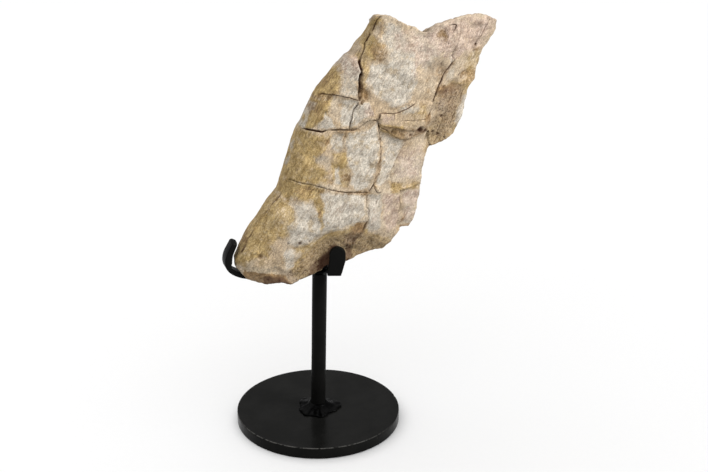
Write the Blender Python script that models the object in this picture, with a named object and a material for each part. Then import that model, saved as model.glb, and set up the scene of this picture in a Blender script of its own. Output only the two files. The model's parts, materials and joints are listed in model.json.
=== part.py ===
"""Section of a sauropod rib resting in a welded steel display stand.

The rib stands in the X-Z plane with its broad show face towards -Y. The
origin is the middle of the stand disc's underside, on the table. The
tables of sizes are millimetres and scaled to metres where meshes are made.
"""
import math
import random

import bmesh
import bpy
import numpy as np
from mathutils import Vector
from mathutils.geometry import delaunay_2d_cdt

MM = 0.001
GAP = 0.3

# Stand: disc, rod and flat strips
DISC_RADIUS = 54.0
DISC_THICK = 7.6
DISC_CHAMFER = 0.5
DISC_SIDES = 72
ROD_RADIUS = 4.8
ROD_TOP = 109.5
ROD_LEAN = 2.0
ROD_SIDES = 28
WELD_SIDES = 36
STRIP_THICK = 3.2
STRIP_CHAMFER = 0.6
CLAW_WIDTH = 9.0
PRONG_TURN = math.radians(-17.0)
PRONG_PLACE = 11.8
PRONG_REACH = 18.0
BACK_REACH = 18.5
TAB_HEIGHT = 19.5
TAB_WIDENS = 2.7
BACK_HEIGHT = 17.0
BEND_RADIUS = 1.9

# Centre line of the claw bar, from its buried end to the tip: x, z
CLAW_PATH = (
    (5.0, 111.1),
    (-22.0, 111.1),
    (-42.0, 111.1),
    (-49.0, 111.4),
    (-53.5, 112.8),
    (-57.0, 115.4),
    (-59.1, 118.9),
    (-59.4, 123.0),
    (-58.2, 127.2),
    (-56.2, 130.8),
    (-54.6, 133.6),
)

# Rib outline, clockwise seen from the show face, starting at the top left
# corner: x, z, kind of edge, and how far the edge leans from front to back
OUTLINE = (
    (34.3, 275.6, "broken", 2.0, -6.0),
    (42.0, 275.2, "broken", 0.0, -9.0),
    (49.0, 272.3, "broken", -1.0, -9.0),
    (56.0, 267.8, "broken", -1.0, -8.0),
    (61.0, 266.5, "broken", 0.0, -8.0),
    (63.3, 264.0, "broken", 0.0, -8.0),
    (67.6, 263.0, "broken", 0.0, -8.0),
    (71.0, 266.8, "broken", 0.0, -9.0),
    (77.0, 268.2, "broken", 0.0, -9.0),
    (90.0, 270.6, "broken", 0.0, -9.0),
    (97.0, 270.8, "broken", -1.0, -9.0),
    (103.0, 271.3, "broken", -2.0, -9.0),
    (110.5, 269.0, "broken", -4.0, -8.0),
    (117.0, 264.8, "broken", -6.0, -6.0),
    (115.5, 258.0, "broken", -6.0, -3.0),
    (108.0, 246.0, "broken", -5.0, 0.0),
    (105.0, 234.0, "broken", -5.0, 0.0),
    (104.5, 226.5, "broken", -4.0, 0.0),
    (100.0, 222.0, "broken", -3.0, 1.0),
    (99.5, 215.0, "broken", -4.0, 0.0),
    (96.0, 201.5, "broken", -5.0, 1.0),
    (91.5, 191.5, "broken", -5.0, 3.0),
    (82.5, 186.8, "broken", -3.0, 5.0),
    (72.5, 185.5, "broken", -2.0, 5.0),
    (71.0, 182.0, "broken", -3.0, 2.0),
    (68.5, 173.5, "broken", -3.0, 0.0),
    (67.5, 164.5, "broken", -3.0, 0.0),
    (67.3, 154.0, "broken", -3.0, 0.0),
    (65.3, 145.0, "broken", -3.0, 1.0),
    (63.0, 136.8, "broken", -3.0, 3.0),
    (60.0, 132.8, "broken", -3.0, 4.0),
    (53.5, 133.5, "broken", -2.0, 4.0),
    (51.0, 131.0, "broken", -2.0, 4.0),
    (47.5, 125.0, "broken", -2.0, 5.0),
    (42.5, 120.0, "foot", -1.0, 6.0),
    (35.5, 120.3, "foot", 0.0, 4.0),
    (25.0, 117.3, "foot", 0.0, 3.0),
    (17.5, 114.2, "foot", 0.0, 2.0),
    (9.0, 113.6, "foot", 0.0, 1.0),
    (0.5, 113.6, "foot", 0.0, 1.0),
    (-3.5, 109.9, "foot", 0.0, 4.7),
    (-10.0, 108.2, "foot", 0.0, 6.3),
    (-16.0, 106.0, "foot", 0.0, 8.5),
    (-20.0, 104.2, "foot", 0.0, 10.2),
    (-24.0, 105.4, "foot", 0.0, 9.1),
    (-37.0, 106.2, "foot", 0.5, 8.4),
    (-43.5, 108.8, "foot", 1.5, 6.0),
    (-49.0, 114.4, "foot", 2.5, 2.5),
    (-53.3, 118.4, "natural", 1.0, 1.0),
    (-53.2, 124.0, "natural", 0.5, 0.0),
    (-51.3, 130.0, "natural", 0.0, 0.0),
    (-45.0, 141.0, "natural", 0.0, 0.0),
    (-37.3, 151.0, "natural", 0.0, 0.0),
    (-30.0, 161.0, "natural", 0.0, 0.0),
    (-25.0, 166.0, "natural", 0.0, 0.0),
    (-22.0, 176.0, "natural", 0.0, 0.0),
    (-18.5, 186.0, "natural", 0.0, 0.0),
    (-15.5, 196.0, "natural", 0.0, 0.0),
    (-11.0, 206.0, "natural", 0.0, 0.0),
    (-6.0, 216.0, "natural", 0.0, 0.0),
    (-1.0, 226.0, "natural", 0.0, 0.0),
    (8.0, 236.0, "natural", 0.0, 0.0),
    (11.5, 240.5, "natural", 0.0, 0.0),
    (20.0, 249.5, "natural", 0.0, -1.0),
    (22.5, 251.0, "natural", 0.0, -2.0),
    (30.0, 262.0, "natural", 1.0, -4.0),
    (33.0, 268.0, "natural", 2.0, -5.0),
)

# For each kind of edge, the rings from the front rim to the back rim:
# share of the depth, share of the lean, and how far the ring is drawn in
EDGE_RINGS = {
    "natural": (
        (0.0, 0.0, 1.5),
        (0.16, 0.1, 0.4),
        (0.36, 0.3, 0.0),
        (0.6, 0.55, 0.0),
        (0.83, 0.85, 0.5),
        (1.0, 1.0, 1.6),
    ),
    "broken": (
        (0.0, 0.0, 0.8),
        (0.16, 0.1, 0.0),
        (0.36, 0.3, 0.5),
        (0.6, 0.6, 0.2),
        (0.83, 0.85, 0.5),
        (1.0, 1.0, 1.0),
    ),
    "foot": (
        (0.0, 0.0, 1.5),
        (0.14, 0.0, 0.0),
        (0.28, 1.0, 0.0),
        (0.5, 1.0, 0.2),
        (0.8, 1.0, 0.5),
        (1.0, 1.0, 1.6),
    ),
}
RING_STEP = 4.6
EDGE_ROUNDING = 9.0

# How far the show face stands in front of the mid plane: x, z, depth
FRONT_DEPTHS = (
    (37, 273, 11.0),
    (50, 268, 13.0),
    (65, 260, 14.5),
    (84, 266, 14.0),
    (103, 268, 11.0),
    (112, 262, 8.0),
    (27, 255, 13.5),
    (45, 250, 15.5),
    (62, 240, 16.5),
    (82, 250, 15.5),
    (98, 252, 10.5),
    (104, 240, 5.5),
    (12, 239, 12.0),
    (3, 228, 11.5),
    (24, 235, 14.0),
    (45, 230, 17.0),
    (62, 222, 17.5),
    (72, 222, 15.5),
    (86, 225, 10.0),
    (98, 218, 4.0),
    (-7, 212, 12.0),
    (8, 212, 15.0),
    (25, 212, 17.5),
    (45, 210, 17.5),
    (65, 207, 16.0),
    (80, 205, 9.0),
    (91, 200, 3.5),
    (78, 192, 4.0),
    (-15, 190, 12.0),
    (0, 190, 16.0),
    (20, 188, 18.0),
    (38, 188, 18.0),
    (55, 185, 15.5),
    (68, 180, 11.5),
    (-22, 172, 11.5),
    (-8, 168, 16.0),
    (15, 165, 18.5),
    (38, 163, 17.5),
    (55, 160, 14.5),
    (65, 155, 11.0),
    (-40, 146, 11.0),
    (-25, 150, 15.5),
    (-5, 152, 18.0),
    (18, 150, 19.0),
    (40, 148, 16.5),
    (50, 143, 14.0),
    (60, 140, 10.5),
    (-52, 122, 8.0),
    (-44, 130, 12.5),
    (-30, 126, 14.5),
    (-17, 134, 16.5),
    (-4, 141, 18.0),
    (8, 142, 18.5),
    (17, 144, 18.0),
    (24, 138, 16.5),
    (38, 131, 14.0),
    (46, 129, 11.5),
    (-48, 116, 9.0),
    (-37, 112, 12.0),
    (-22, 110, 13.0),
    (-8, 114, 12.0),
    (-2, 118, 9.5),
    (0, 126, 11.0),
    (0, 132, 12.6),
    (8, 116, 10.0),
    (10, 123, 12.0),
    (8, 132, 14.0),
    (16, 131, 14.5),
    (20, 124, 10.5),
    (30, 127, 10.5),
    (38, 122, 9.0),
)

# How far the hidden face stands behind the mid plane: x, z, depth
BACK_DEPTHS = (
    (38, 265, 8.0),
    (65, 252, 10.0),
    (100, 260, 7.0),
    (30, 248, 12.0),
    (60, 235, 15.0),
    (92, 235, 9.0),
    (0, 215, 12.0),
    (30, 205, 15.5),
    (60, 200, 13.5),
    (86, 205, 7.0),
    (-12, 190, 12.0),
    (15, 185, 16.0),
    (55, 175, 14.5),
    (-22, 166, 12.0),
    (10, 160, 16.0),
    (56, 150, 12.5),
    (-40, 142, 11.0),
    (-20, 140, 14.5),
    (5, 135, 15.0),
    (36, 135, 12.0),
    (-50, 122, 8.0),
    (-30, 119, 12.0),
    (-5, 120, 13.0),
    (20, 123, 12.0),
    (40, 126, 9.0),
)

# Plates of bone between the cracks: level above the face, outline x, z
FRONT_PLATES = (
    (0.9, ((18, 251), (24.5, 247), (25, 236), (24.6, 223), (9, 227.5), (-9, 226), (2, 234), (10, 243))),
    (1.0, ((22.6, 223), (31.4, 222), (34, 212), (31.7, 211.5), (25.4, 208.7), (22, 206.8), (17, 208), (18.4, 216))),
    (1.7, ((35, 216), (48, 215), (60, 221), (72, 218), (70, 202.5), (63, 201.5), (58, 201), (48, 204), (36, 207.5))),
    (-1.5, ((36.5, 205), (44, 199.6), (48.5, 196.6), (54, 195), (47, 180), (38, 163), (33, 170), (37, 190))),
    (-2.2, ((54, 195), (58, 196), (71, 197.8), (74, 186), (69, 163), (38, 163), (47, 180))),
    (-2.4, ((51, 162), (70, 163), (70, 130), (50, 134))),
)
BACK_PLATES = (
    (1.0, ((-16, 206), (12, 203), (30, 207), (24, 190), (20, 165), (-5, 169), (-30, 172))),
    (-1.3, ((60, 231), (80, 226), (105, 229), (118, 262), (104, 266), (84, 251), (70, 246))),
)

# Cracks and clefts: width, depth, points x, z
FRONT_CRACKS = (
    (1.8, 1.4, ((33.5, 268), (29.5, 262), (26.8, 257), (24.8, 250), (25, 243))),
    (3.0, 6.5, ((25, 240), (24.5, 232), (24.6, 224.5))),
    (1.6, 1.2, ((-1, 227.2), (9, 227.5), (18, 226), (23.4, 223.5))),
    (1.6, 1.1, ((22, 222), (18.4, 216), (16.8, 207.5))),
    (1.6, 1.1, ((31.4, 222), (33, 216), (35, 210))),
    (2.4, 2.0, ((-9, 207.5), (0, 206.2), (12, 206.7), (22, 206.4))),
    (1.8, 1.3, ((22, 206.4), (26, 209.5), (32, 211.5), (35, 210))),
    (1.8, 1.5, ((35, 210), (36.5, 200), (37.2, 190), (35, 179), (32.5, 170), (28.5, 163.5))),
    (1.6, 1.0, ((35.8, 215.5), (44, 214), (49, 215), (60, 221))),
    (1.4, 0.9, ((51, 209), (58, 208.4), (68.5, 208))),
    (1.8, 1.2, ((87.8, 267), (87, 257), (83.8, 250), (85, 244), (79, 236), (75, 228), (71.5, 215), (69.2, 208))),
    (1.4, 0.8, ((32.5, 168), (34.6, 163.5), (38, 163))),
    (2.2, 1.4, ((-23, 175.3), (-12, 174), (3, 169.3), (10, 166), (20, 164.3), (28.5, 163.5))),
    (1.5, 0.8, ((28, 162), (27.5, 155), (29.4, 151), (28.8, 143))),
    (2.6, 1.6, ((29, 142), (23, 137), (18, 131))),
    (1.4, 0.2, ((38, 207.3), (44, 205), (49, 203.9), (58, 200.9), (63.5, 201.6), (69, 202.4))),
    (1.4, 0.2, ((38, 204.2), (44, 199.6), (48.5, 196.6), (54, 195), (58, 196), (69, 197.6))),
    (1.2, 0.2, ((53, 192.5), (47, 180), (40.5, 167))),
    (1.4, 0.3, ((51.4, 161), (51.8, 151), (50.8, 142), (50.4, 137))),
)
BACK_CRACKS = (
    (2.0, 1.5, ((1, 226), (15, 229), (38, 225), (60, 231), (80, 226), (98, 228))),
    (2.2, 1.8, ((-8, 206), (12, 203), (30, 207), (48, 200), (66, 198))),
    (2.0, 1.4, ((-22, 172), (-5, 169), (20, 165), (42, 168), (62, 160))),
    (1.8, 1.2, ((30, 207), (24, 190), (20, 165), (8, 140), (-4, 124))),
)

# Pits and hollows in the show face: x, z, radius, depth
FRONT_PITS = (
    (84, 263, 3.5, 1.3),
    (76, 260, 7.0, 1.3),
    (91, 232, 4.0, 1.6),
    (29, 229, 5.0, 1.8),
    (45, 202, 3.5, 1.6),
    (63, 201, 3.5, 1.8),
    (-41, 129, 3.5, 1.4),
    (-16, 134, 3.0, 1.0),
    (-30, 116, 4.0, 1.2),
    (20, 132, 4.5, 1.4),
)
FRONT_GRID = 4.3
BACK_GRID = 5.2
ROUGH_HEIGHT = 0.22
BROKEN_ROUGHNESS = 0.5


def clear_objects():
    """Remove every object that the file opened with."""
    for obj in list(bpy.data.objects):
        bpy.data.objects.remove(obj, do_unlink=True)


def make_material(name, colour, roughness, metallic=0.0):
    """Plain surface with the part's own colour."""
    material = bpy.data.materials.new(name)
    material.use_nodes = True
    shader = material.node_tree.nodes["Principled BSDF"]
    shader.inputs["Base Color"].default_value = (*colour, 1.0)
    shader.inputs["Roughness"].default_value = roughness
    shader.inputs["Metallic"].default_value = metallic
    return material


def add_object(name, points, faces, material, sharp_angle=None):
    """Make one named object from points in millimetres."""
    mesh = bpy.data.meshes.new(name)
    mesh.from_pydata([[c * MM for c in p] for p in points], [], faces)
    work = bmesh.new()
    work.from_mesh(mesh)
    bmesh.ops.recalc_face_normals(work, faces=work.faces)
    work.to_mesh(mesh)
    work.free()
    mesh.materials.append(material)
    if sharp_angle is not None:
        mesh.shade_smooth()
        mesh.set_sharp_from_angle(angle=math.radians(sharp_angle))
    obj = bpy.data.objects.new(name, mesh)
    bpy.context.scene.collection.objects.link(obj)
    return obj


def bridge(first, second, count):
    """Quads between two closed rings of point numbers."""
    quads = []
    for i in range(count):
        j = (i + 1) % count
        quads.append((first + i, first + j, second + j, second + i))
    return quads


def lathe(profile, sides, centre=lambda z: (0.0, 0.0)):
    """Closed body turned from (radius, z) pairs, lowest pair first."""
    points = []
    faces = []
    for radius, z in profile:
        cx, cy = centre(z)
        for i in range(sides):
            angle = math.tau * i / sides
            points.append((cx + radius * math.cos(angle), cy + radius * math.sin(angle), z))
    for level in range(len(profile) - 1):
        faces += bridge(level * sides, (level + 1) * sides, sides)
    last = (len(profile) - 1) * sides
    faces.append(tuple(reversed(range(sides))))
    faces.append(tuple(range(last, last + sides)))
    return points, faces


def make_disc(material):
    """Round base plate with eased edges."""
    profile = (
        (DISC_RADIUS - DISC_CHAMFER, 0.0),
        (DISC_RADIUS, DISC_CHAMFER),
        (DISC_RADIUS, DISC_THICK - DISC_CHAMFER),
        (DISC_RADIUS - DISC_CHAMFER, DISC_THICK),
    )
    points, faces = lathe(profile, DISC_SIDES)
    return add_object("base_disc", points, faces, material, 30)


def rod_centre(z):
    """The rod was welded a little out of true and leans to the right."""
    return ROD_LEAN * (z - DISC_THICK) / (ROD_TOP - DISC_THICK), 0.0


def make_rod(material):
    """Upright round rod."""
    ends = (DISC_THICK + GAP, ROD_TOP - GAP)
    points, faces = lathe([(ROD_RADIUS, z) for z in ends], ROD_SIDES, rod_centre)
    return add_object("rod", points, faces, material, 40)


def make_weld(name, levels, lobes, material):
    """Lumpy weld bead round the rod: rings of (radius, z, lump size)."""
    points = []
    faces = []
    for radius, z, lump in levels:
        cx, cy = rod_centre(z)
        for i in range(WELD_SIDES):
            angle = math.tau * i / WELD_SIDES
            wave = sum(size * math.cos(count * angle + phase) for count, size, phase in lobes)
            reach = radius + lump * wave
            points.append((cx + reach * math.cos(angle), cy + reach * math.sin(angle), z))
    for level in range(len(levels)):
        after = (level + 1) % len(levels)
        faces += bridge(level * WELD_SIDES, after * WELD_SIDES, WELD_SIDES)
    return add_object(name, points, faces, material, 60)


def strip_body(stations):
    """Flat bar through stations of (centre, across, normal, low, high)."""
    half = STRIP_THICK / 2
    cut = STRIP_CHAMFER
    points = []
    faces = []
    for centre, across, normal, low, high in stations:
        corners = (
            (low + cut, -half),
            (high - cut, -half),
            (high, cut - half),
            (high, half - cut),
            (high - cut, half),
            (low + cut, half),
            (low, half - cut),
            (low, cut - half),
        )
        for side, rise in corners:
            points.append(tuple(centre + across * side + normal * rise))
    for i in range(len(stations) - 1):
        faces += bridge(i * 8, (i + 1) * 8, 8)
    last = (len(stations) - 1) * 8
    faces.append(tuple(range(8)))
    faces.append(tuple(reversed(range(last, last + 8))))
    return points, faces


def along_path(path, across, widths):
    """Stations along a bent strip, each square to the path."""
    stations = []
    for i, centre in enumerate(path):
        before = path[max(i - 1, 0)]
        after = path[min(i + 1, len(path) - 1)]
        direction = (after - before).normalized()
        normal = across.cross(direction).normalized()
        stations.append((centre, across, normal, *widths[i]))
    return stations


def rounded_end(stations, at_start, round_length):
    """Add narrowing stations so that the strip's tip is round."""
    centre, across, normal, low, high = stations[0] if at_start else stations[-1]
    direction = normal.cross(across).normalized()
    neighbour = stations[1][0] if at_start else stations[-2][0]
    if direction.dot(centre - neighbour) < 0:
        direction.negate()
    middle = (low + high) / 2
    half = (high - low) / 2
    tips = []
    for share in (0.35, 0.65, 0.88, 1.0):
        width = max(half * math.sqrt(1 - share * share), STRIP_CHAMFER * 1.4)
        tips.append((centre + direction * round_length * share, across, normal, middle - width, middle + width))
    if at_start:
        return list(reversed(tips)) + stations
    return stations + tips


def make_claw(material):
    """Bar under the rib whose left end curls up as a claw."""
    across = Vector((0.0, 1.0, 0.0))
    path = [Vector((x, 0.0, z)) for x, z in CLAW_PATH]
    half = CLAW_WIDTH / 2
    widths = [(-half, half)] * len(path)
    stations = rounded_end(along_path(path, across, widths), False, half * 0.55)
    points, faces = strip_body(stations)
    return add_object("claw_bar", points, faces, material, 40)


def make_prongs(material):
    """Cross strip with the front tab and the back prong bent up."""
    forward = Vector((math.sin(PRONG_TURN), -math.cos(PRONG_TURN), 0.0))
    across = Vector((math.cos(PRONG_TURN), math.sin(PRONG_TURN), 0.0))
    middle = Vector((PRONG_PLACE, 0.0, ROD_TOP + STRIP_THICK / 2))
    half = CLAW_WIDTH / 2
    front = PRONG_REACH - STRIP_THICK / 2
    side_view = []
    tab_straight = TAB_HEIGHT - 6.5
    for rise in (tab_straight, 0.6 * tab_straight, 0.3 * tab_straight):
        side_view.append((front, rise, TAB_WIDENS * min(1.0, rise / 10.0)))
    for step in range(4):
        angle = math.pi / 2 * step / 3
        reach = front - BEND_RADIUS * (1 - math.cos(angle))
        side_view.append((reach, BEND_RADIUS * (1 - math.sin(angle)), 0.0))
    side_view.append((2.0, 0.0, 0.0))
    for step in range(4):
        angle = math.pi / 2 * step / 3
        reach = BACK_REACH - BEND_RADIUS * (1 - math.sin(angle))
        side_view.append((-reach, BEND_RADIUS * (1 - math.cos(angle)), 0.0))
    side_view.append((-BACK_REACH, BACK_HEIGHT - 5.0, 0.0))
    path = [middle + forward * reach + Vector((0.0, 0.0, rise)) for reach, rise, _ in side_view]
    widths = [(-half, half + wider) for _, _, wider in side_view]
    stations = along_path(path, across, widths)
    stations = rounded_end(stations, True, 5.0)
    stations = rounded_end(stations, False, 4.0)
    points, faces = strip_body(stations)
    return add_object("prong_strip", points, faces, material, 40)


def distance_to_line(spots, line):
    """Least distance from each spot to an open line of points."""
    least = np.full(len(spots), 1e9)
    for start, end in zip(line[:-1], line[1:]):
        start = np.asarray(start, float)
        run = np.asarray(end, float) - start
        along = np.clip((spots - start) @ run / (run @ run), 0.0, 1.0)
        gap = spots - start - along[:, None] * run
        least = np.minimum(least, np.hypot(gap[:, 0], gap[:, 1]))
    return least


def inside(spots, ring):
    """Which spots lie inside a closed outline."""
    found = np.zeros(len(spots), bool)
    ring = np.asarray(ring, float)
    for (x1, z1), (x2, z2) in zip(ring, np.roll(ring, -1, axis=0)):
        crosses = (z1 > spots[:, 1]) != (z2 > spots[:, 1])
        if z1 == z2:
            continue
        at = x1 + (spots[:, 1] - z1) * (x2 - x1) / (z2 - z1)
        found ^= crosses & (spots[:, 0] < at)
    return found


def depth_field(soundings):
    """Smooth depth through all the soundings, by radial functions."""
    table = np.array(soundings, float)
    places = table[:, :2]
    apart = np.linalg.norm(places[:, None] - places[None], axis=2)
    count = len(table)
    system = np.zeros((count + 3, count + 3))
    system[:count, :count] = -apart
    system[:count, count] = 1.0
    system[:count, count + 1:] = places
    system[count:, :count] = system[:count, count:].T
    weights = np.linalg.solve(system, np.append(table[:, 2], np.zeros(3)))

    def depth(spots):
        away = np.linalg.norm(spots[:, None] - places[None], axis=2)
        return -away @ weights[:count] + weights[count] + spots @ weights[count + 1:]

    return depth


def lumps(spots, seed):
    """Gentle uneven swelling of weathered bone."""
    source = random.Random(seed)
    total = np.zeros(len(spots))
    for wavelength, size in ((31.0, 0.5), (17.0, 0.35), (9.5, 0.3)):
        for _ in range(5):
            heading = source.uniform(0, math.tau)
            phase = source.uniform(0, math.tau)
            wave = spots[:, 0] * math.cos(heading) + spots[:, 1] * math.sin(heading)
            total += size * 0.45 * np.sin(math.tau * wave / wavelength + phase)
    return total


def face_depth(spots, field, plates, cracks, pits, natural_edge, seed):
    """Depth of one broad face at each spot, plates, cracks and all."""
    depth = field(spots) + lumps(spots, seed)
    for level, ring in plates:
        depth += level * inside(spots, ring)
    for x, z, radius, dip in pits:
        near = np.hypot(spots[:, 0] - x, spots[:, 1] - z) / radius
        depth -= dip * np.clip(1 - near * near, 0, 1)
    for width, dip, line in cracks:
        near = distance_to_line(spots, line) / (width / 2)
        depth -= dip * np.clip(1 - near, 0, 1)
    rounding = np.clip(distance_to_line(spots, natural_edge) / EDGE_ROUNDING, 0.0, 1.0)
    return depth * np.sqrt(1 - 0.97 * (1 - rounding) ** 2)


def resample_outline():
    """Evenly spaced outline stations with their edge rings blended."""
    keys = []
    for x, z, kind, lean_x, lean_z in OUTLINE:
        rings = np.array(EDGE_RINGS[kind]).ravel()
        broken = 1.0 if kind == "broken" else 0.0
        keys.append(np.concatenate(((x, z, lean_x, lean_z, broken), rings)))
    keys = np.array(keys)
    stations = []
    for here, after in zip(keys, np.roll(keys, -1, axis=0)):
        length = np.hypot(*(after[:2] - here[:2]))
        steps = max(1, round(length / RING_STEP))
        for step in range(steps):
            stations.append(here + (after - here) * step / steps)
    return np.array(stations)


def edge_rings(stations, front, back):
    """Closed rings of points from the front rim round to the back rim."""
    source = random.Random(7)
    spots = stations[:, :2]
    ahead = np.roll(spots, -1, axis=0) - np.roll(spots, 1, axis=0)
    inward = np.stack((ahead[:, 1], -ahead[:, 0]), axis=1)
    inward /= np.linalg.norm(inward, axis=1)[:, None]
    shape = stations[:, 5:].reshape(len(stations), -1, 3)
    places = []
    for ring in range(shape.shape[1]):
        drawn = shape[:, ring, 2].copy()
        if 0 < ring < shape.shape[1] - 1:
            drawn += stations[:, 4] * [source.uniform(-1, 1) * BROKEN_ROUGHNESS for _ in stations]
        drawn = np.maximum(drawn, 0.0)
        places.append(spots + stations[:, 2:4] * shape[:, ring, 1:2] + inward * drawn[:, None])
    front_y = -front(places[0])
    back_y = back(places[-1])
    rings = []
    for ring, place in enumerate(places):
        share = shape[:, ring, 0]
        y = front_y + (back_y - front_y) * share
        rings.append(np.column_stack((place[:, 0], y, place[:, 1])))
    return rings


def crack_chains(cracks, step=4.0):
    """Chains of spots along each crack: its bottom and both its lips."""
    chains = []
    for number, (width, _, line) in enumerate(cracks):
        bottom = []
        for start, end in zip(line[:-1], line[1:]):
            start = np.array(start, float)
            end = np.array(end, float)
            parts = max(1, round(np.hypot(*(end - start)) / step))
            bottom += [start + (end - start) * part / parts for part in range(parts)]
        bottom.append(np.array(line[-1], float))
        bottom = np.array(bottom)
        along = np.gradient(bottom, axis=0)
        along /= np.linalg.norm(along, axis=1)[:, None]
        aside = np.stack((along[:, 1], -along[:, 0]), axis=1) * width / 2
        chains.append((bottom, np.ones(len(bottom), bool)))
        for lip in (bottom + aside, bottom - aside):
            clear = np.ones(len(lip), bool)
            for other, (other_width, _, other_line) in enumerate(cracks):
                if other != number:
                    clear &= distance_to_line(lip, other_line) > other_width * 0.5 + 0.3
            chains.append((lip, clear))
    return chains


def sheet(rim, spacing, cracks, seed):
    """Triangulate one broad face inside its rim, following the cracks."""
    source = random.Random(seed)
    rim_spots = np.array([(p[0], p[2]) for p in rim])
    closed_rim = np.vstack((rim_spots, rim_spots[:1]))
    fixed = list(rim_spots)
    edges = [(i, (i + 1) % len(rim)) for i in range(len(rim))]
    for chain, clear in crack_chains(cracks):
        clear &= inside(chain, rim_spots) & (distance_to_line(chain, closed_rim) > 1.5)
        previous = None
        for spot, usable in zip(chain, clear):
            if not usable:
                previous = None
                continue
            away = np.hypot(*(np.array(fixed) - spot).T)
            index = int(np.argmin(away))
            if away[index] > 0.6:
                index = len(fixed)
                fixed.append(spot)
            if previous is not None and previous != index:
                edges.append((previous, index))
            previous = index
    low = rim_spots.min(axis=0)
    high = rim_spots.max(axis=0)
    loose = []
    for row in range(int((high[1] - low[1]) / (spacing * 0.87)) + 1):
        for column in range(int((high[0] - low[0]) / spacing) + 1):
            x = low[0] + (column + 0.5 * (row % 2)) * spacing
            z = low[1] + row * spacing * 0.87
            jitter = spacing * 0.22
            loose.append((x + source.uniform(-jitter, jitter), z + source.uniform(-jitter, jitter)))
    loose = np.array(loose)
    loose = loose[inside(loose, rim_spots) & (distance_to_line(loose, closed_rim) > spacing * 0.5)]
    for spot in loose:
        if np.hypot(*(np.array(fixed) - spot).T).min() > spacing * 0.42:
            fixed.append(spot)
    result = delaunay_2d_cdt([Vector(p) for p in fixed], edges, [list(range(len(rim)))], 1, 1e-5)
    return np.array([tuple(v) for v in result[0]]), [tuple(f) for f in result[2]]


def make_rib(material):
    """Rib section: show face, hidden face and the broken edges between."""
    natural_edge = [(x, z) for x, z, kind, _, _ in OUTLINE if kind == "natural"]
    front_field = depth_field(FRONT_DEPTHS)
    back_field = depth_field(BACK_DEPTHS)

    def front(spots):
        return face_depth(spots, front_field, FRONT_PLATES, FRONT_CRACKS, FRONT_PITS, natural_edge, 3)

    def back(spots):
        return face_depth(spots, back_field, BACK_PLATES, BACK_CRACKS, (), natural_edge, 11)

    rings = edge_rings(resample_outline(), front, back)
    count = len(rings[0])
    points = [tuple(p) for ring in rings for p in ring]
    faces = []
    for ring in range(len(rings) - 1):
        faces += bridge(ring * count, (ring + 1) * count, count)
    source = random.Random(5)
    last_ring = (len(rings) - 1) * count
    sides = (
        (rings[0], 0, FRONT_GRID, FRONT_CRACKS, front, -1.0, 21),
        (rings[-1], last_ring, BACK_GRID, BACK_CRACKS, back, 1.0, 22),
    )
    for rim, first, spacing, cracks, face, facing, seed in sides:
        spots, triangles = sheet(rim, spacing, cracks, seed)
        depths = face(spots)
        numbers = []
        for index, (spot, depth) in enumerate(zip(spots, depths)):
            if index < count:
                numbers.append(first + index)
                continue
            numbers.append(len(points))
            depth += source.uniform(-1, 1) * ROUGH_HEIGHT
            points.append((spot[0], facing * depth, spot[1]))
        faces += [tuple(numbers[i] for i in triangle) for triangle in triangles]
    return add_object("rib", points, faces, material)


def main():
    """Build every piece of the object."""
    clear_objects()
    bone = make_material("fossil bone", (0.52, 0.41, 0.29), 0.85)
    paint = make_material("satin black paint", (0.018, 0.018, 0.02), 0.38)
    gloss = make_material("glossy black weld", (0.012, 0.012, 0.014), 0.2)
    make_disc(paint)
    make_rod(paint)
    foot = DISC_THICK + GAP
    inner = ROD_RADIUS + GAP
    lobes = ((3, 0.9, 0.4), (5, 0.8, 1.9), (8, 0.5, 0.7))
    foot_levels = (
        (inner, foot, 0.0),
        (13.6, foot, 1.0),
        (13.2, foot + 0.7, 1.0),
        (10.6, foot + 1.4, 0.6),
        (7.6, foot + 2.7, 0.3),
        (inner + 0.5, foot + 4.3, 0.0),
        (inner, foot + 4.4, 0.0),
    )
    make_weld("foot_weld", foot_levels, lobes, gloss)
    top = ROD_TOP - GAP
    top_levels = (
        (inner, top - 3.2, 0.0),
        (inner + 0.5, top - 3.0, 0.0),
        (inner + 1.4, top - 1.6, 0.25),
        (inner + 1.7, top - 0.1, 0.25),
        (inner, top - 0.1, 0.0),
    )
    make_weld("top_weld", top_levels, lobes, gloss)
    make_claw(paint)
    make_prongs(paint)
    make_rib(bone)


main()
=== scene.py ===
"""Section of a sauropod rib in its black welded stand, dressed for a studio shot.

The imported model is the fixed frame: the rib stands in the X-Z plane with its
broad show face towards -Y, and the origin is the middle of the stand disc's
underside. Sizes are millimetres in the tables and metres in the meshes.
"""
import json
import math
import random

import bmesh
import bpy
import numpy as np
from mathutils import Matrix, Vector, kdtree, noise
from mathutils.geometry import delaunay_2d_cdt

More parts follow.
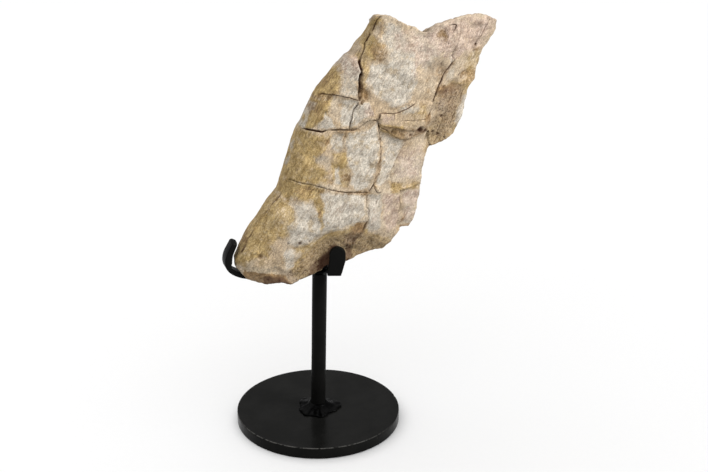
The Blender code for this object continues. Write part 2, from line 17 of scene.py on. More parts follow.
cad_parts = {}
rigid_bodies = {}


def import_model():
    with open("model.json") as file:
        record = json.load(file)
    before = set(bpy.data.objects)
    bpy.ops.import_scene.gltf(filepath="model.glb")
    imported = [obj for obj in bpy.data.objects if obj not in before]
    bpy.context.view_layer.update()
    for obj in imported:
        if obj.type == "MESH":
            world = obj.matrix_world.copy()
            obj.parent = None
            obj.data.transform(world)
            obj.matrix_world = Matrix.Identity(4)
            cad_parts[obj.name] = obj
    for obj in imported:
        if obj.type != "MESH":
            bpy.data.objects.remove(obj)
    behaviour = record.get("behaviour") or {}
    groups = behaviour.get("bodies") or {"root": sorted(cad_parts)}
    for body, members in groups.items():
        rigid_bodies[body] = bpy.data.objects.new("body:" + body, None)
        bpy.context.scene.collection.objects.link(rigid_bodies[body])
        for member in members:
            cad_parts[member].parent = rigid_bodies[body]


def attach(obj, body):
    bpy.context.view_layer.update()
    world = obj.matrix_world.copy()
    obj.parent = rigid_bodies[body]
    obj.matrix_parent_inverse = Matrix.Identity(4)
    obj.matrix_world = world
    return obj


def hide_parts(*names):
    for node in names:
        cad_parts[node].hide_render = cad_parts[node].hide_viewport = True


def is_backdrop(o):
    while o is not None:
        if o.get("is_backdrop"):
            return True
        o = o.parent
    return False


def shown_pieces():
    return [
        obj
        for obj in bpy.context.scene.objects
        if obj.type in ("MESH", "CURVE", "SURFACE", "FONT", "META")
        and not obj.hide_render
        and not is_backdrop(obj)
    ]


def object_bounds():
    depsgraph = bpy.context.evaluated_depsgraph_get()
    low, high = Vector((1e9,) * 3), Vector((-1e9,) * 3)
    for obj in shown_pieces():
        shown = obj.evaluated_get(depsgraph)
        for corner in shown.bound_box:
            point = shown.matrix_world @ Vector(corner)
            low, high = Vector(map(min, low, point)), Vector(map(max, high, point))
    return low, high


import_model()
cad_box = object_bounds()

MM = 0.001
GAP = 0.3

# Stand: disc, rod, welds and flat strips
DISC_RADIUS = 54.0
DISC_THICK = 7.6
DISC_SIDES = 360
DISC_EDGE = 0.55
NICK_ANGLE = math.radians(-1.0)
NICK_WIDTH = 1.1
NICK_DEPTH = 0.7
# Side of the disc's top rim edge that gets a painted highlight, broken up by chips in the paint
RIM_HIGHLIGHT_ANGLE = math.radians(-130.0)
RIM_BAND = 0.7
SAW_DEPTH = 0.06
DISC_UNDER_RINGS = (6.0, 30.0)
DISC_TOP_RINGS = (52.0, 48.0, 42.0, 34.0, 24.0, 14.0, 5.0)
ROD_RADIUS = 4.8
ROD_TOP = 109.5
ROD_LEAN = 2.0
ROD_SIDES = 72
ROD_LEVELS = 60
ROD_RUNS = 0.05
WELD_SIDES = 180
WELD_INNER = ROD_RADIUS + GAP
STRIP_THICK = 3.2
STRIP_ROUND = 0.7
CLAW_WIDTH = 9.0
CLAW_STEP = 1.2
PRONG_TURN = math.radians(-17.0)
PRONG_PLACE = 11.8
PRONG_REACH = 18.0
BACK_REACH = 18.5
TAB_STRAIGHT = 14.1
TAB_ROUND = 5.0
TAB_WIDENS = 2.7
TAB_WIDE_AT = 10.0
TAB_DROP = 0.8
BACK_STRAIGHT = 12.0
BACK_ROUND = 4.0
BEND_RADIUS = 1.9
CORNER_STEPS = 4
BEND_STEPS = 8
TIP_STEPS = 12

# Lobes round a weld bead: how many, how far out, phase
LOBES = (
    (3, 0.9, 0.4),
    (5, 0.8, 1.9),
    (8, 0.5, 0.7),
)

# Rings of the weld beads, from their foot on the disc and from the rod's top:
# radius, rise, share of the lobes
FOOT_PROFILE = (
    (WELD_INNER, 0.0, 0.0),
    (10.0, 0.0, 0.6),
    (13.4, 0.0, 1.0),
    (13.7, 0.35, 1.0),
    (13.2, 0.8, 1.0),
    (12.0, 1.1, 0.9),
    (10.6, 1.4, 0.7),
    (9.0, 1.9, 0.5),
    (7.6, 2.7, 0.3),
    (6.4, 3.6, 0.15),
    (WELD_INNER + 0.4, 4.3, 0.0),
    (WELD_INNER, 4.4, 0.0),
)
TOP_PROFILE = (
    (WELD_INNER, -3.2, 0.0),
    (WELD_INNER + 0.4, -3.1, 0.0),
    (WELD_INNER + 0.9, -2.4, 0.15),
    (WELD_INNER + 1.4, -1.6, 0.25),
    (WELD_INNER + 1.7, -0.7, 0.25),
    (WELD_INNER + 1.6, -0.1, 0.25),
    (WELD_INNER, -0.1, 0.0),
)
FOOT_RIPPLE = 1.2
TOP_RIPPLE = 0.8

# The claw is thickest at its bend: by how much, and the heights between
# which it thickens and thins again
CLAW_SWELL = 1.5
CLAW_THICKENS = (116.5, 122.5)
CLAW_THINS = (122.0, 136.0)
CLAW_TIP_ROUND = 0.55
CLAW_TIP_THIN = 0.4

# Centre line of the claw bar, from its buried end to the tip: x, z
CLAW_PATH = (
    (5, 111.1),
    (-22, 111.1),
    (-42, 111.1),
    (-48, 111.6),
    (-52.8, 113.5),
    (-56.6, 116.1),
    (-58.8, 119.3),
    (-59.25, 123),
    (-58.2, 127.2),
    (-56.2, 130.8),
    (-54.6, 133.6),
)

# Rib outline by kind of edge, clockwise seen from the show face, starting at
# the top left corner: x, z, and how far the edge leans from front to back
OUTLINE = {
    "broken": (
        (34.3, 275.6, 2, -6), (42, 275.2, 0, -9), (49, 272.3, -1, -9), (56, 267.8, -1, -8),
        (61, 266.5, 0, -8), (63.3, 264, 0, -8), (67.6, 263, 0, -8), (71, 266.8, 0, -9),
        (77, 268.2, 0, -9), (90, 270.6, 0, -9), (97, 270.8, -1, -9), (103, 271.3, -2, -9),
        (110.5, 269, -4, -8), (117, 264.8, -6, -6), (115.5, 258, -6, -3), (108, 246, -5, 0),
        (105, 234, -5, 0), (104.5, 226.5, -4, 0), (100, 222, -3, 1), (99.5, 215, -4, 0),
        (96, 201.5, -5, 1), (91.5, 191.5, -5, 3), (82.5, 186.8, -3, 5), (72.5, 185.5, -2, 5),
        (71, 182, -3, 2), (68.5, 173.5, -3, 0), (67.5, 164.5, -3, 0), (67.3, 154, -3, 0),
        (65.3, 145, -3, 1), (63, 136.8, -3, 3), (60, 132.8, -3, 4), (53.5, 133.5, -2, 4),
        (51, 131, -2, 4), (47.5, 125, -2, 5),
    ),
    "foot": (
        (42.5, 120, -1, 6), (35.5, 120.3, 0, 4), (25, 117.3, 0, 3), (17.5, 114.2, 0, 2),
        (9, 113.6, 0, 1), (2.6, 113.4, 0, 1.2), (1.2, 110.4, 0, 4.2), (-3.5, 109.9, 0, 4.7),
        (-10, 108.2, 0, 6.3), (-16, 106, 0, 8.5), (-20.5, 104.7, 0, 9.7), (-26, 107.2, 0, 7.4),
        (-35.5, 106.8, 0.5, 7.8), (-43, 109, 1.5, 5.8), (-48.2, 111.3, 2.5, 5.2),
        (-49.8, 113.7, 2.5, 3.2),
    ),
    "natural": (
        (-54.4, 117.9, 1, 1.5), (-54.4, 124, 0.5, 0), (-51.6, 130, 0, 0), (-45, 141, 0, 0),
        (-37.3, 151, 0, 0), (-30, 161, 0, 0), (-25, 166, 0, 0), (-22, 176, 0, 0),
        (-18.5, 186, 0, 0), (-15.5, 196, 0, 0), (-11, 206, 0, 0), (-6, 216, 0, 0),
        (-1, 226, 0, 0), (8, 236, 0, 0), (11.5, 240.5, 0, 0), (20, 249.5, 0, -1),
        (22.5, 251, 0, -2), (30, 262, 1, -4), (33, 268, 2, -5),
    ),
}

# For each kind of edge, the rings from the front rim to the back rim:
# share of the depth, share of the lean, and how far the ring is drawn in
EDGE_RINGS = {
    "natural": (
        (0, 0, 1.5),
        (0.16, 0.1, 0.4),
        (0.36, 0.3, 0),
        (0.6, 0.55, 0),
        (0.83, 0.85, 0.5),
        (1, 1, 1.6),
    ),
    "broken": (
        (0, 0, 0.8),
        (0.16, 0.1, 0),
        (0.36, 0.3, 0.5),
        (0.6, 0.6, 0.2),
        (0.83, 0.85, 0.5),
        (1, 1, 1),
    ),
    "foot": (
        (0, 0, 1.5),
        (0.14, 0, 0),
        (0.28, 1, 0),
        (0.5, 1, 0.2),
        (0.8, 1, 0.5),
        (1, 1, 1.6),
    ),
}
BROKEN_SHARE = {"natural": 0.0, "foot": 0.7, "broken": 1.0}
EDGE_STEP = 0.75
EDGE_RING_COUNT = 38
EDGE_ROUNDING = 9.0
EDGE_DROP = 0.97
PLATE_SOFTNESS = 0.35
FRONT_SPACING = 0.7
BACK_SPACING = 1.0
ROW_SHARE = 0.87
RIM_CLEAR = 0.5
GRAIN_TILT = math.radians(34.0)
BORDER_WANDER = 1.8
BOX_MARGIN = 0.02

# Ragged outline: depth, size of the lumps, seed
RAGS = (
    (0.45, 5.0, 3),
    (0.35, 2.1, 4),
)

# Uneven faces: height, wavelength, number of waves
SWELLINGS = (
    (0.5, 31.0, 5),
    (0.35, 17.0, 5),
    (0.3, 9.5, 5),
)
SWELLING_SHARE = 0.45

# Fine relief of the bone: how high or deep it is, and the size of its lumps
FIBRE_RELIEF = 0.1
FIBRE_SIZE = 1.5
GRAIN_RELIEF = 0.1
GRAIN_SIZE = 3.0
DENT_RELIEF = 0.22
DENT_SIZE = 8.0
FLAKE_DEPTH = 0.28
FLAKE_SIZE = 7.0
SPONGE_RELIEF = 0.55
SPONGE_SIZE = 4.5
HOLE_DEPTH = 0.75
HOLE_SIZE = 1.9
MOST_RELIEF = 0.45

# Where the strips hold the bone: middle x, z, reach in x, z, relief left out
HOLD_PLACE = (6.0, 114.0)
HOLD_REACH = (22.0, 12.0)
HOLD_RELIEF = 0.4

# Stains of the hidden face: tint, strength, patch size, seed, rise from, to
BACK_STAINS = (
    ("pale", 0.8, 26.0, 31, 0.05, 0.5),
    ("pink", 0.5, 30.0, 35, 0.1, 0.6),
    ("brown", 0.6, 22.0, 39, 0.1, 0.5),
)

# Studio: places and sizes in metres, lens and sensor in millimetres
LIGHT_SHARE = 0.7
FLOOR_HALF = 120.0
FLOOR_DROP = 0.0002
SURROUND = 0.5
OVERHEAD_POWER = 1.95
OVERHEAD_SPREAD = math.radians(100.0)
OVERHEAD_TURN = (math.radians(-5.0), math.radians(-7.0), 0.0)
KEY_PLACE = (0.75, -0.6, 0.95)
KEY_TARGET = (0.03, 0.0, 0.18)
KEY_SIZE = 0.5
KEY_POWER = 20.0
CAMERA_PLACE = (-0.2495, -0.8454, 0.5005)
CAMERA_TURN = (math.radians(67.276), 0.0, math.radians(-18.0))
CAMERA_LENS = 76.27
CAMERA_SENSOR = 36.0

# How far the show face stands in front of the mid plane: x, z, depth
FRONT_DEPTHS = (
    (37, 273, 11), (50, 268, 13), (65, 260, 14.5), (84, 266, 14), (103, 268, 11), (112, 262, 8),
    (27, 255, 13.5), (45, 250, 15.5), (62, 240, 16.5), (82, 250, 15.5), (98, 252, 10.5),
    (104, 240, 5.5), (12, 239, 12), (3, 228, 11.5), (24, 235, 14), (45, 230, 17),
    (62, 222, 17.5), (72, 222, 15.5), (86, 225, 10), (98, 218, 4), (-7, 212, 12), (8, 212, 15),
    (25, 212, 17.5), (45, 210, 17.5), (65, 207, 16), (80, 205, 9), (91, 200, 3.5), (78, 192, 4),
    (-15, 190, 12), (0, 190, 16), (20, 188, 18), (38, 188, 18), (55, 185, 15.5),
    (68, 180, 11.5), (-22, 172, 11.5), (-8, 168, 16), (15, 165, 18.5), (38, 163, 17.5),
    (55, 160, 14.5), (65, 155, 11), (-40, 146, 11), (-25, 150, 15.5), (-5, 152, 18),
    (18, 150, 19), (40, 148, 16.5), (50, 143, 14), (60, 140, 10.5), (-52, 122, 8),
    (-44, 130, 12.5), (-30, 126, 14.5), (-17, 134, 16.5), (-4, 141, 18), (8, 142, 18.5),
    (17, 144, 18), (24, 138, 16.5), (38, 131, 14), (46, 129, 11.5), (-48, 116, 9),
    (-37, 112, 12), (-22, 110, 13), (-8, 114, 12), (-2, 118, 9.5), (0, 126, 11), (0, 132, 12.6),
    (8, 116, 10), (10, 123, 12), (8, 132, 14), (16, 131, 14.5), (20, 124, 10.5),
    (30, 127, 10.5), (38, 122, 9),
)

# How far the hidden face stands behind the mid plane: x, z, depth
BACK_DEPTHS = (
    (38, 265, 8), (65, 252, 10), (100, 260, 7), (30, 248, 12), (60, 235, 15), (92, 235, 9),
    (0, 215, 12), (30, 205, 15.5), (60, 200, 13.5), (86, 205, 7), (-12, 190, 12), (15, 185, 16),
    (55, 175, 14.5), (-22, 166, 12), (10, 160, 16), (56, 150, 12.5), (-40, 142, 11),
    (-20, 140, 14.5), (5, 135, 15), (36, 135, 12), (-50, 122, 8), (-30, 119, 12), (-5, 120, 13),
    (20, 123, 12), (40, 126, 9),
)

# Plates of bone between the cracks: how far raised or sunken, outline x, z
FRONT_PLATES = (
    (0.9, ((18, 251), (24.5, 247), (25, 236), (24.6, 223), (9, 227.5), (-9, 226), (2, 234), (10, 243))),
    (1, ((22.6, 223), (31.4, 222), (34, 212), (31.7, 211.5), (25.4, 208.7), (22, 206.8), (17, 208),
         (18.4, 216))),
    (1.3, ((35, 216), (48, 215), (60, 221), (72, 218), (70, 202.5), (63, 201.5), (58, 201), (48, 204),
           (36, 207.5))),
    (-1.2, ((36.5, 205), (44, 199.6), (48.5, 196.6), (54, 195), (47, 180), (38, 163), (33, 170),
            (37, 190))),
    (-1.8, ((54, 195), (58, 196), (71, 197.8), (74, 186), (69, 163), (38, 163), (47, 180))),
    (-2.4, ((51, 162), (70, 163), (70, 130), (50, 134))),
)
BACK_PLATES = (
    (1, ((-16, 206), (12, 203), (30, 207), (24, 190), (20, 165), (-5, 169), (-30, 172))),
    (-1.3, ((60, 231), (80, 226), (105, 229), (118, 262), (104, 266), (84, 251), (70, 246))),
)

# Cracks and clefts of the two broad faces: width, depth, darkness (painted shade inside), points x, z
FRONT_CRACKS = (
    (1, 1.2, 0.8, ((38.5, 274.5), (36.2, 271.4), (34.6, 266.5), (32.5, 263.1), (30.7, 260.2), (29, 256.2),
                   (27.2, 252.6), (25.8, 249.4))),
    (1.9, 2, 1, ((25.8, 249.4), (24.7, 247), (24.8, 244), (25.5, 241))),
    (3.3, 6, 1, ((25.2, 241.5), (24.5, 236.9), (24.3, 230.5), (24.4, 225.5), (24.3, 222.6))),
    (0.9, 0.9, 0.9, ((-2.3, 223.3), (-0.7, 226), (2.7, 228), (9.6, 227.5), (16.4, 226.3), (21.1, 225),
                     (24, 223.3))),
    (0.8, 0.8, 0.7, ((22.3, 222.8), (20.2, 219.5), (18.4, 215.8), (17.3, 210.8), (16.5, 207))),
    (0.9, 0.9, 0.8, ((31.4, 221.8), (32.6, 217.2), (34, 211.8), (34.8, 210))),
    (1.4, 2, 1, ((-10.9, 206.4), (-5.2, 206.6), (0.2, 205.8), (3.5, 206.7))),
    (1.4, 1.2, 0.5, ((3.5, 206.7), (11.6, 206.7), (19.6, 205.8), (23, 206.4))),
    (1, 1, 0.8, ((23, 206.4), (25.4, 208.7), (27.7, 210.7), (31.7, 211.5), (34.8, 210))),
    (1.3, 1.2, 1, ((-10.2, 207.5), (-12.1, 203.6), (-13.9, 199.8))),
    (0.9, 0.6, 0.6, ((-2.7, 221.7), (-6.9, 214.1), (-10.9, 206.6))),
    (1.2, 1.4, 0.95, ((34.8, 210), (35.8, 205.9), (36.7, 198.2), (37.2, 190.2), (36.2, 184.3),
                      (34.2, 176.4), (32.6, 169.8), (28.6, 163.8))),
    (0.9, 0.8, 0.8, ((32.4, 168.4), (34.6, 163.4), (38, 163))),
    (1.1, 1, 0.9, ((35.2, 211.4), (35.7, 215.6), (39.6, 215.2), (44.3, 214), (48.2, 215), (53.6, 217.1),
                   (58.2, 218.9), (59.9, 221))),
    (0.7, 0.6, 0.7, ((45.3, 214), (45.4, 211))),
    (0.7, 0.6, 0.6, ((51, 209.1), (57.7, 208.4), (63.8, 208.4), (68.6, 207.9))),
    (0.8, 0.6, 0.6, ((90.2, 269), (89.7, 262.5), (88.2, 255.5), (86.2, 250), (84.2, 246.5), (86.5, 243))),
    (1.7, 2, 1, ((86.5, 243), (83, 239.2), (80.2, 236.2), (77.8, 231.5), (74.6, 226.5), (72.2, 219.5),
                 (70.8, 213), (69.2, 208.2))),
    (1, 0.8, 0.55, ((-23.2, 170), (-19.6, 175.6), (-11.9, 173.5), (-6, 172.1), (2.8, 169.4))),
    (1, 1, 0.7, ((2.8, 169.6), (9.8, 167.1), (20.3, 165.1), (28.6, 164))),
    (0.7, 0.5, 0.5, ((28, 163.2), (27.3, 155), (29.4, 151.8), (28.8, 143.1))),
    (0.7, 0.5, 0.6, ((14.4, 203.5), (12.6, 197.9))),
    (1, 0.8, 0.5, ((36, 206.6), (40.4, 203.8), (43.8, 200.2), (48.4, 197), (53.9, 195.4), (57.9, 196.7),
                   (63.3, 198.2), (69.6, 198))),
    (0.8, 0.3, 0.3, ((37.6, 206.9), (44, 205.2), (49.4, 203.8), (58.8, 200.6), (63.5, 201.7),
                     (69.6, 202.4))),
    (0.9, 0.5, 0.65, ((53.9, 194.5), (50.6, 186.7), (47.3, 180.3), (43.4, 173.3), (40, 167.6), (38, 163))),
    (0.9, 0.6, 0.6, ((51.1, 161.8), (51.8, 150.8), (50.7, 142.4), (50.2, 136.2))),
    (1.4, 1, 0.45, ((29, 146), (27.1, 142.8), (25.4, 138), (23, 133.1), (20, 128.9), (20.6, 122.5))),
    (0.9, 0.7, 0.65, ((110, 269), (109.8, 266), (107.5, 261.5), (105.2, 256.5), (103, 253),
                      (101.8, 250.9))),
    (1.2, 0.9, 0.6, ((96, 221), (92.5, 212), (89.5, 203), (86, 196))),
    (1.2, 0.9, 0.5, ((86, 218), (83.5, 209), (80.5, 200), (78.5, 194.5))),
    (1.2, 1, 0.8, ((76, 207.5), (72.8, 201.1), (70.8, 195.3), (69.8, 190.5))),
    (1.8, 0.6, 0.85, ((-24.1, 166.2), (-30.7, 159.7), (-38.4, 149.7), (-46.8, 137.3), (-51.8, 128))),
    (1.2, 1.1, 0.75, ((82.8, 265.6), (86.8, 265.4), (85.8, 263), (84.4, 260.8))),
)
BACK_CRACKS = (
    (1.1, 1.3, 0.75, ((1, 226), (15, 229), (38, 225), (60, 231), (80, 226), (98, 228))),
    (1.3, 1.6, 0.8, ((-8, 206), (12, 203), (30, 207), (48, 200), (66, 198))),
    (1.1, 1.2, 0.8, ((-20, 172), (-5, 169), (20, 165), (42, 168), (62, 160))),
    (1, 1.1, 0.8, ((30, 207), (24, 190), (20, 165), (8, 140), (-4, 124))),
)
CRACK_STEP = 0.8
CRACK_WOBBLE = 0.35
WIDE_CRACK = 1.3
BACK_CRACK_DRIFT = 2.2

# Pits and hollows in the show face: x, z, radius, depth, darkness (painted shade inside the pit)
FRONT_PITS = (
    (84, 263, 3.5, 0.9, 0),
    (76.5, 260.5, 5.5, 1.7, 0),
    (76, 238, 4.5, 1.3, 0),
    (83, 233.5, 4, 0.8, 0),
    (95, 231, 4, 1.3, 0),
    (91, 232.2, 1.3, 0.8, 0.6),
    (77, 242, 1.2, 0.7, 0.35),
    (66.5, 242, 3.5, 0.9, 0),
    (86.5, 226, 5, 1.2, 0),
    (79, 226.5, 1.6, 0.8, 0.5),
    (99.5, 247.5, 4, 1.1, 0),
    (75, 196, 1.3, 0.9, 0.8),
    (79.5, 193, 1.2, 0.9, 0.7),
    (84, 190.5, 1, 0.8, 0.6),
    (27.5, 227, 3.5, 1.4, 0),
    (45, 202, 2.2, 1.2, 0.35),
    (63.5, 201, 2.6, 1.8, 0.95),
    (68, 199, 1.8, 1.3, 0.9),
    (57, 198.3, 1.4, 0.9, 0.7),
    (50.5, 200, 1.3, 0.8, 0.6),
    (102, 250.5, 1.1, 0.9, 0.95),
    (-40, 127.5, 2.4, 1.2, 0.6),
    (-15.5, 135, 1.8, 1, 0.7),
    (-9.1, 135.2, 1, 0.7, 0.6),
    (-23, 135.6, 0.9, 0.6, 0.5),
    (-30, 116, 4, 1.2, 0),
    (20, 132, 3.5, 1.2, 0.4),
    (80, 206.5, 1.3, 1, 0.8),
    (78, 211, 1, 0.9, 0.7),
)
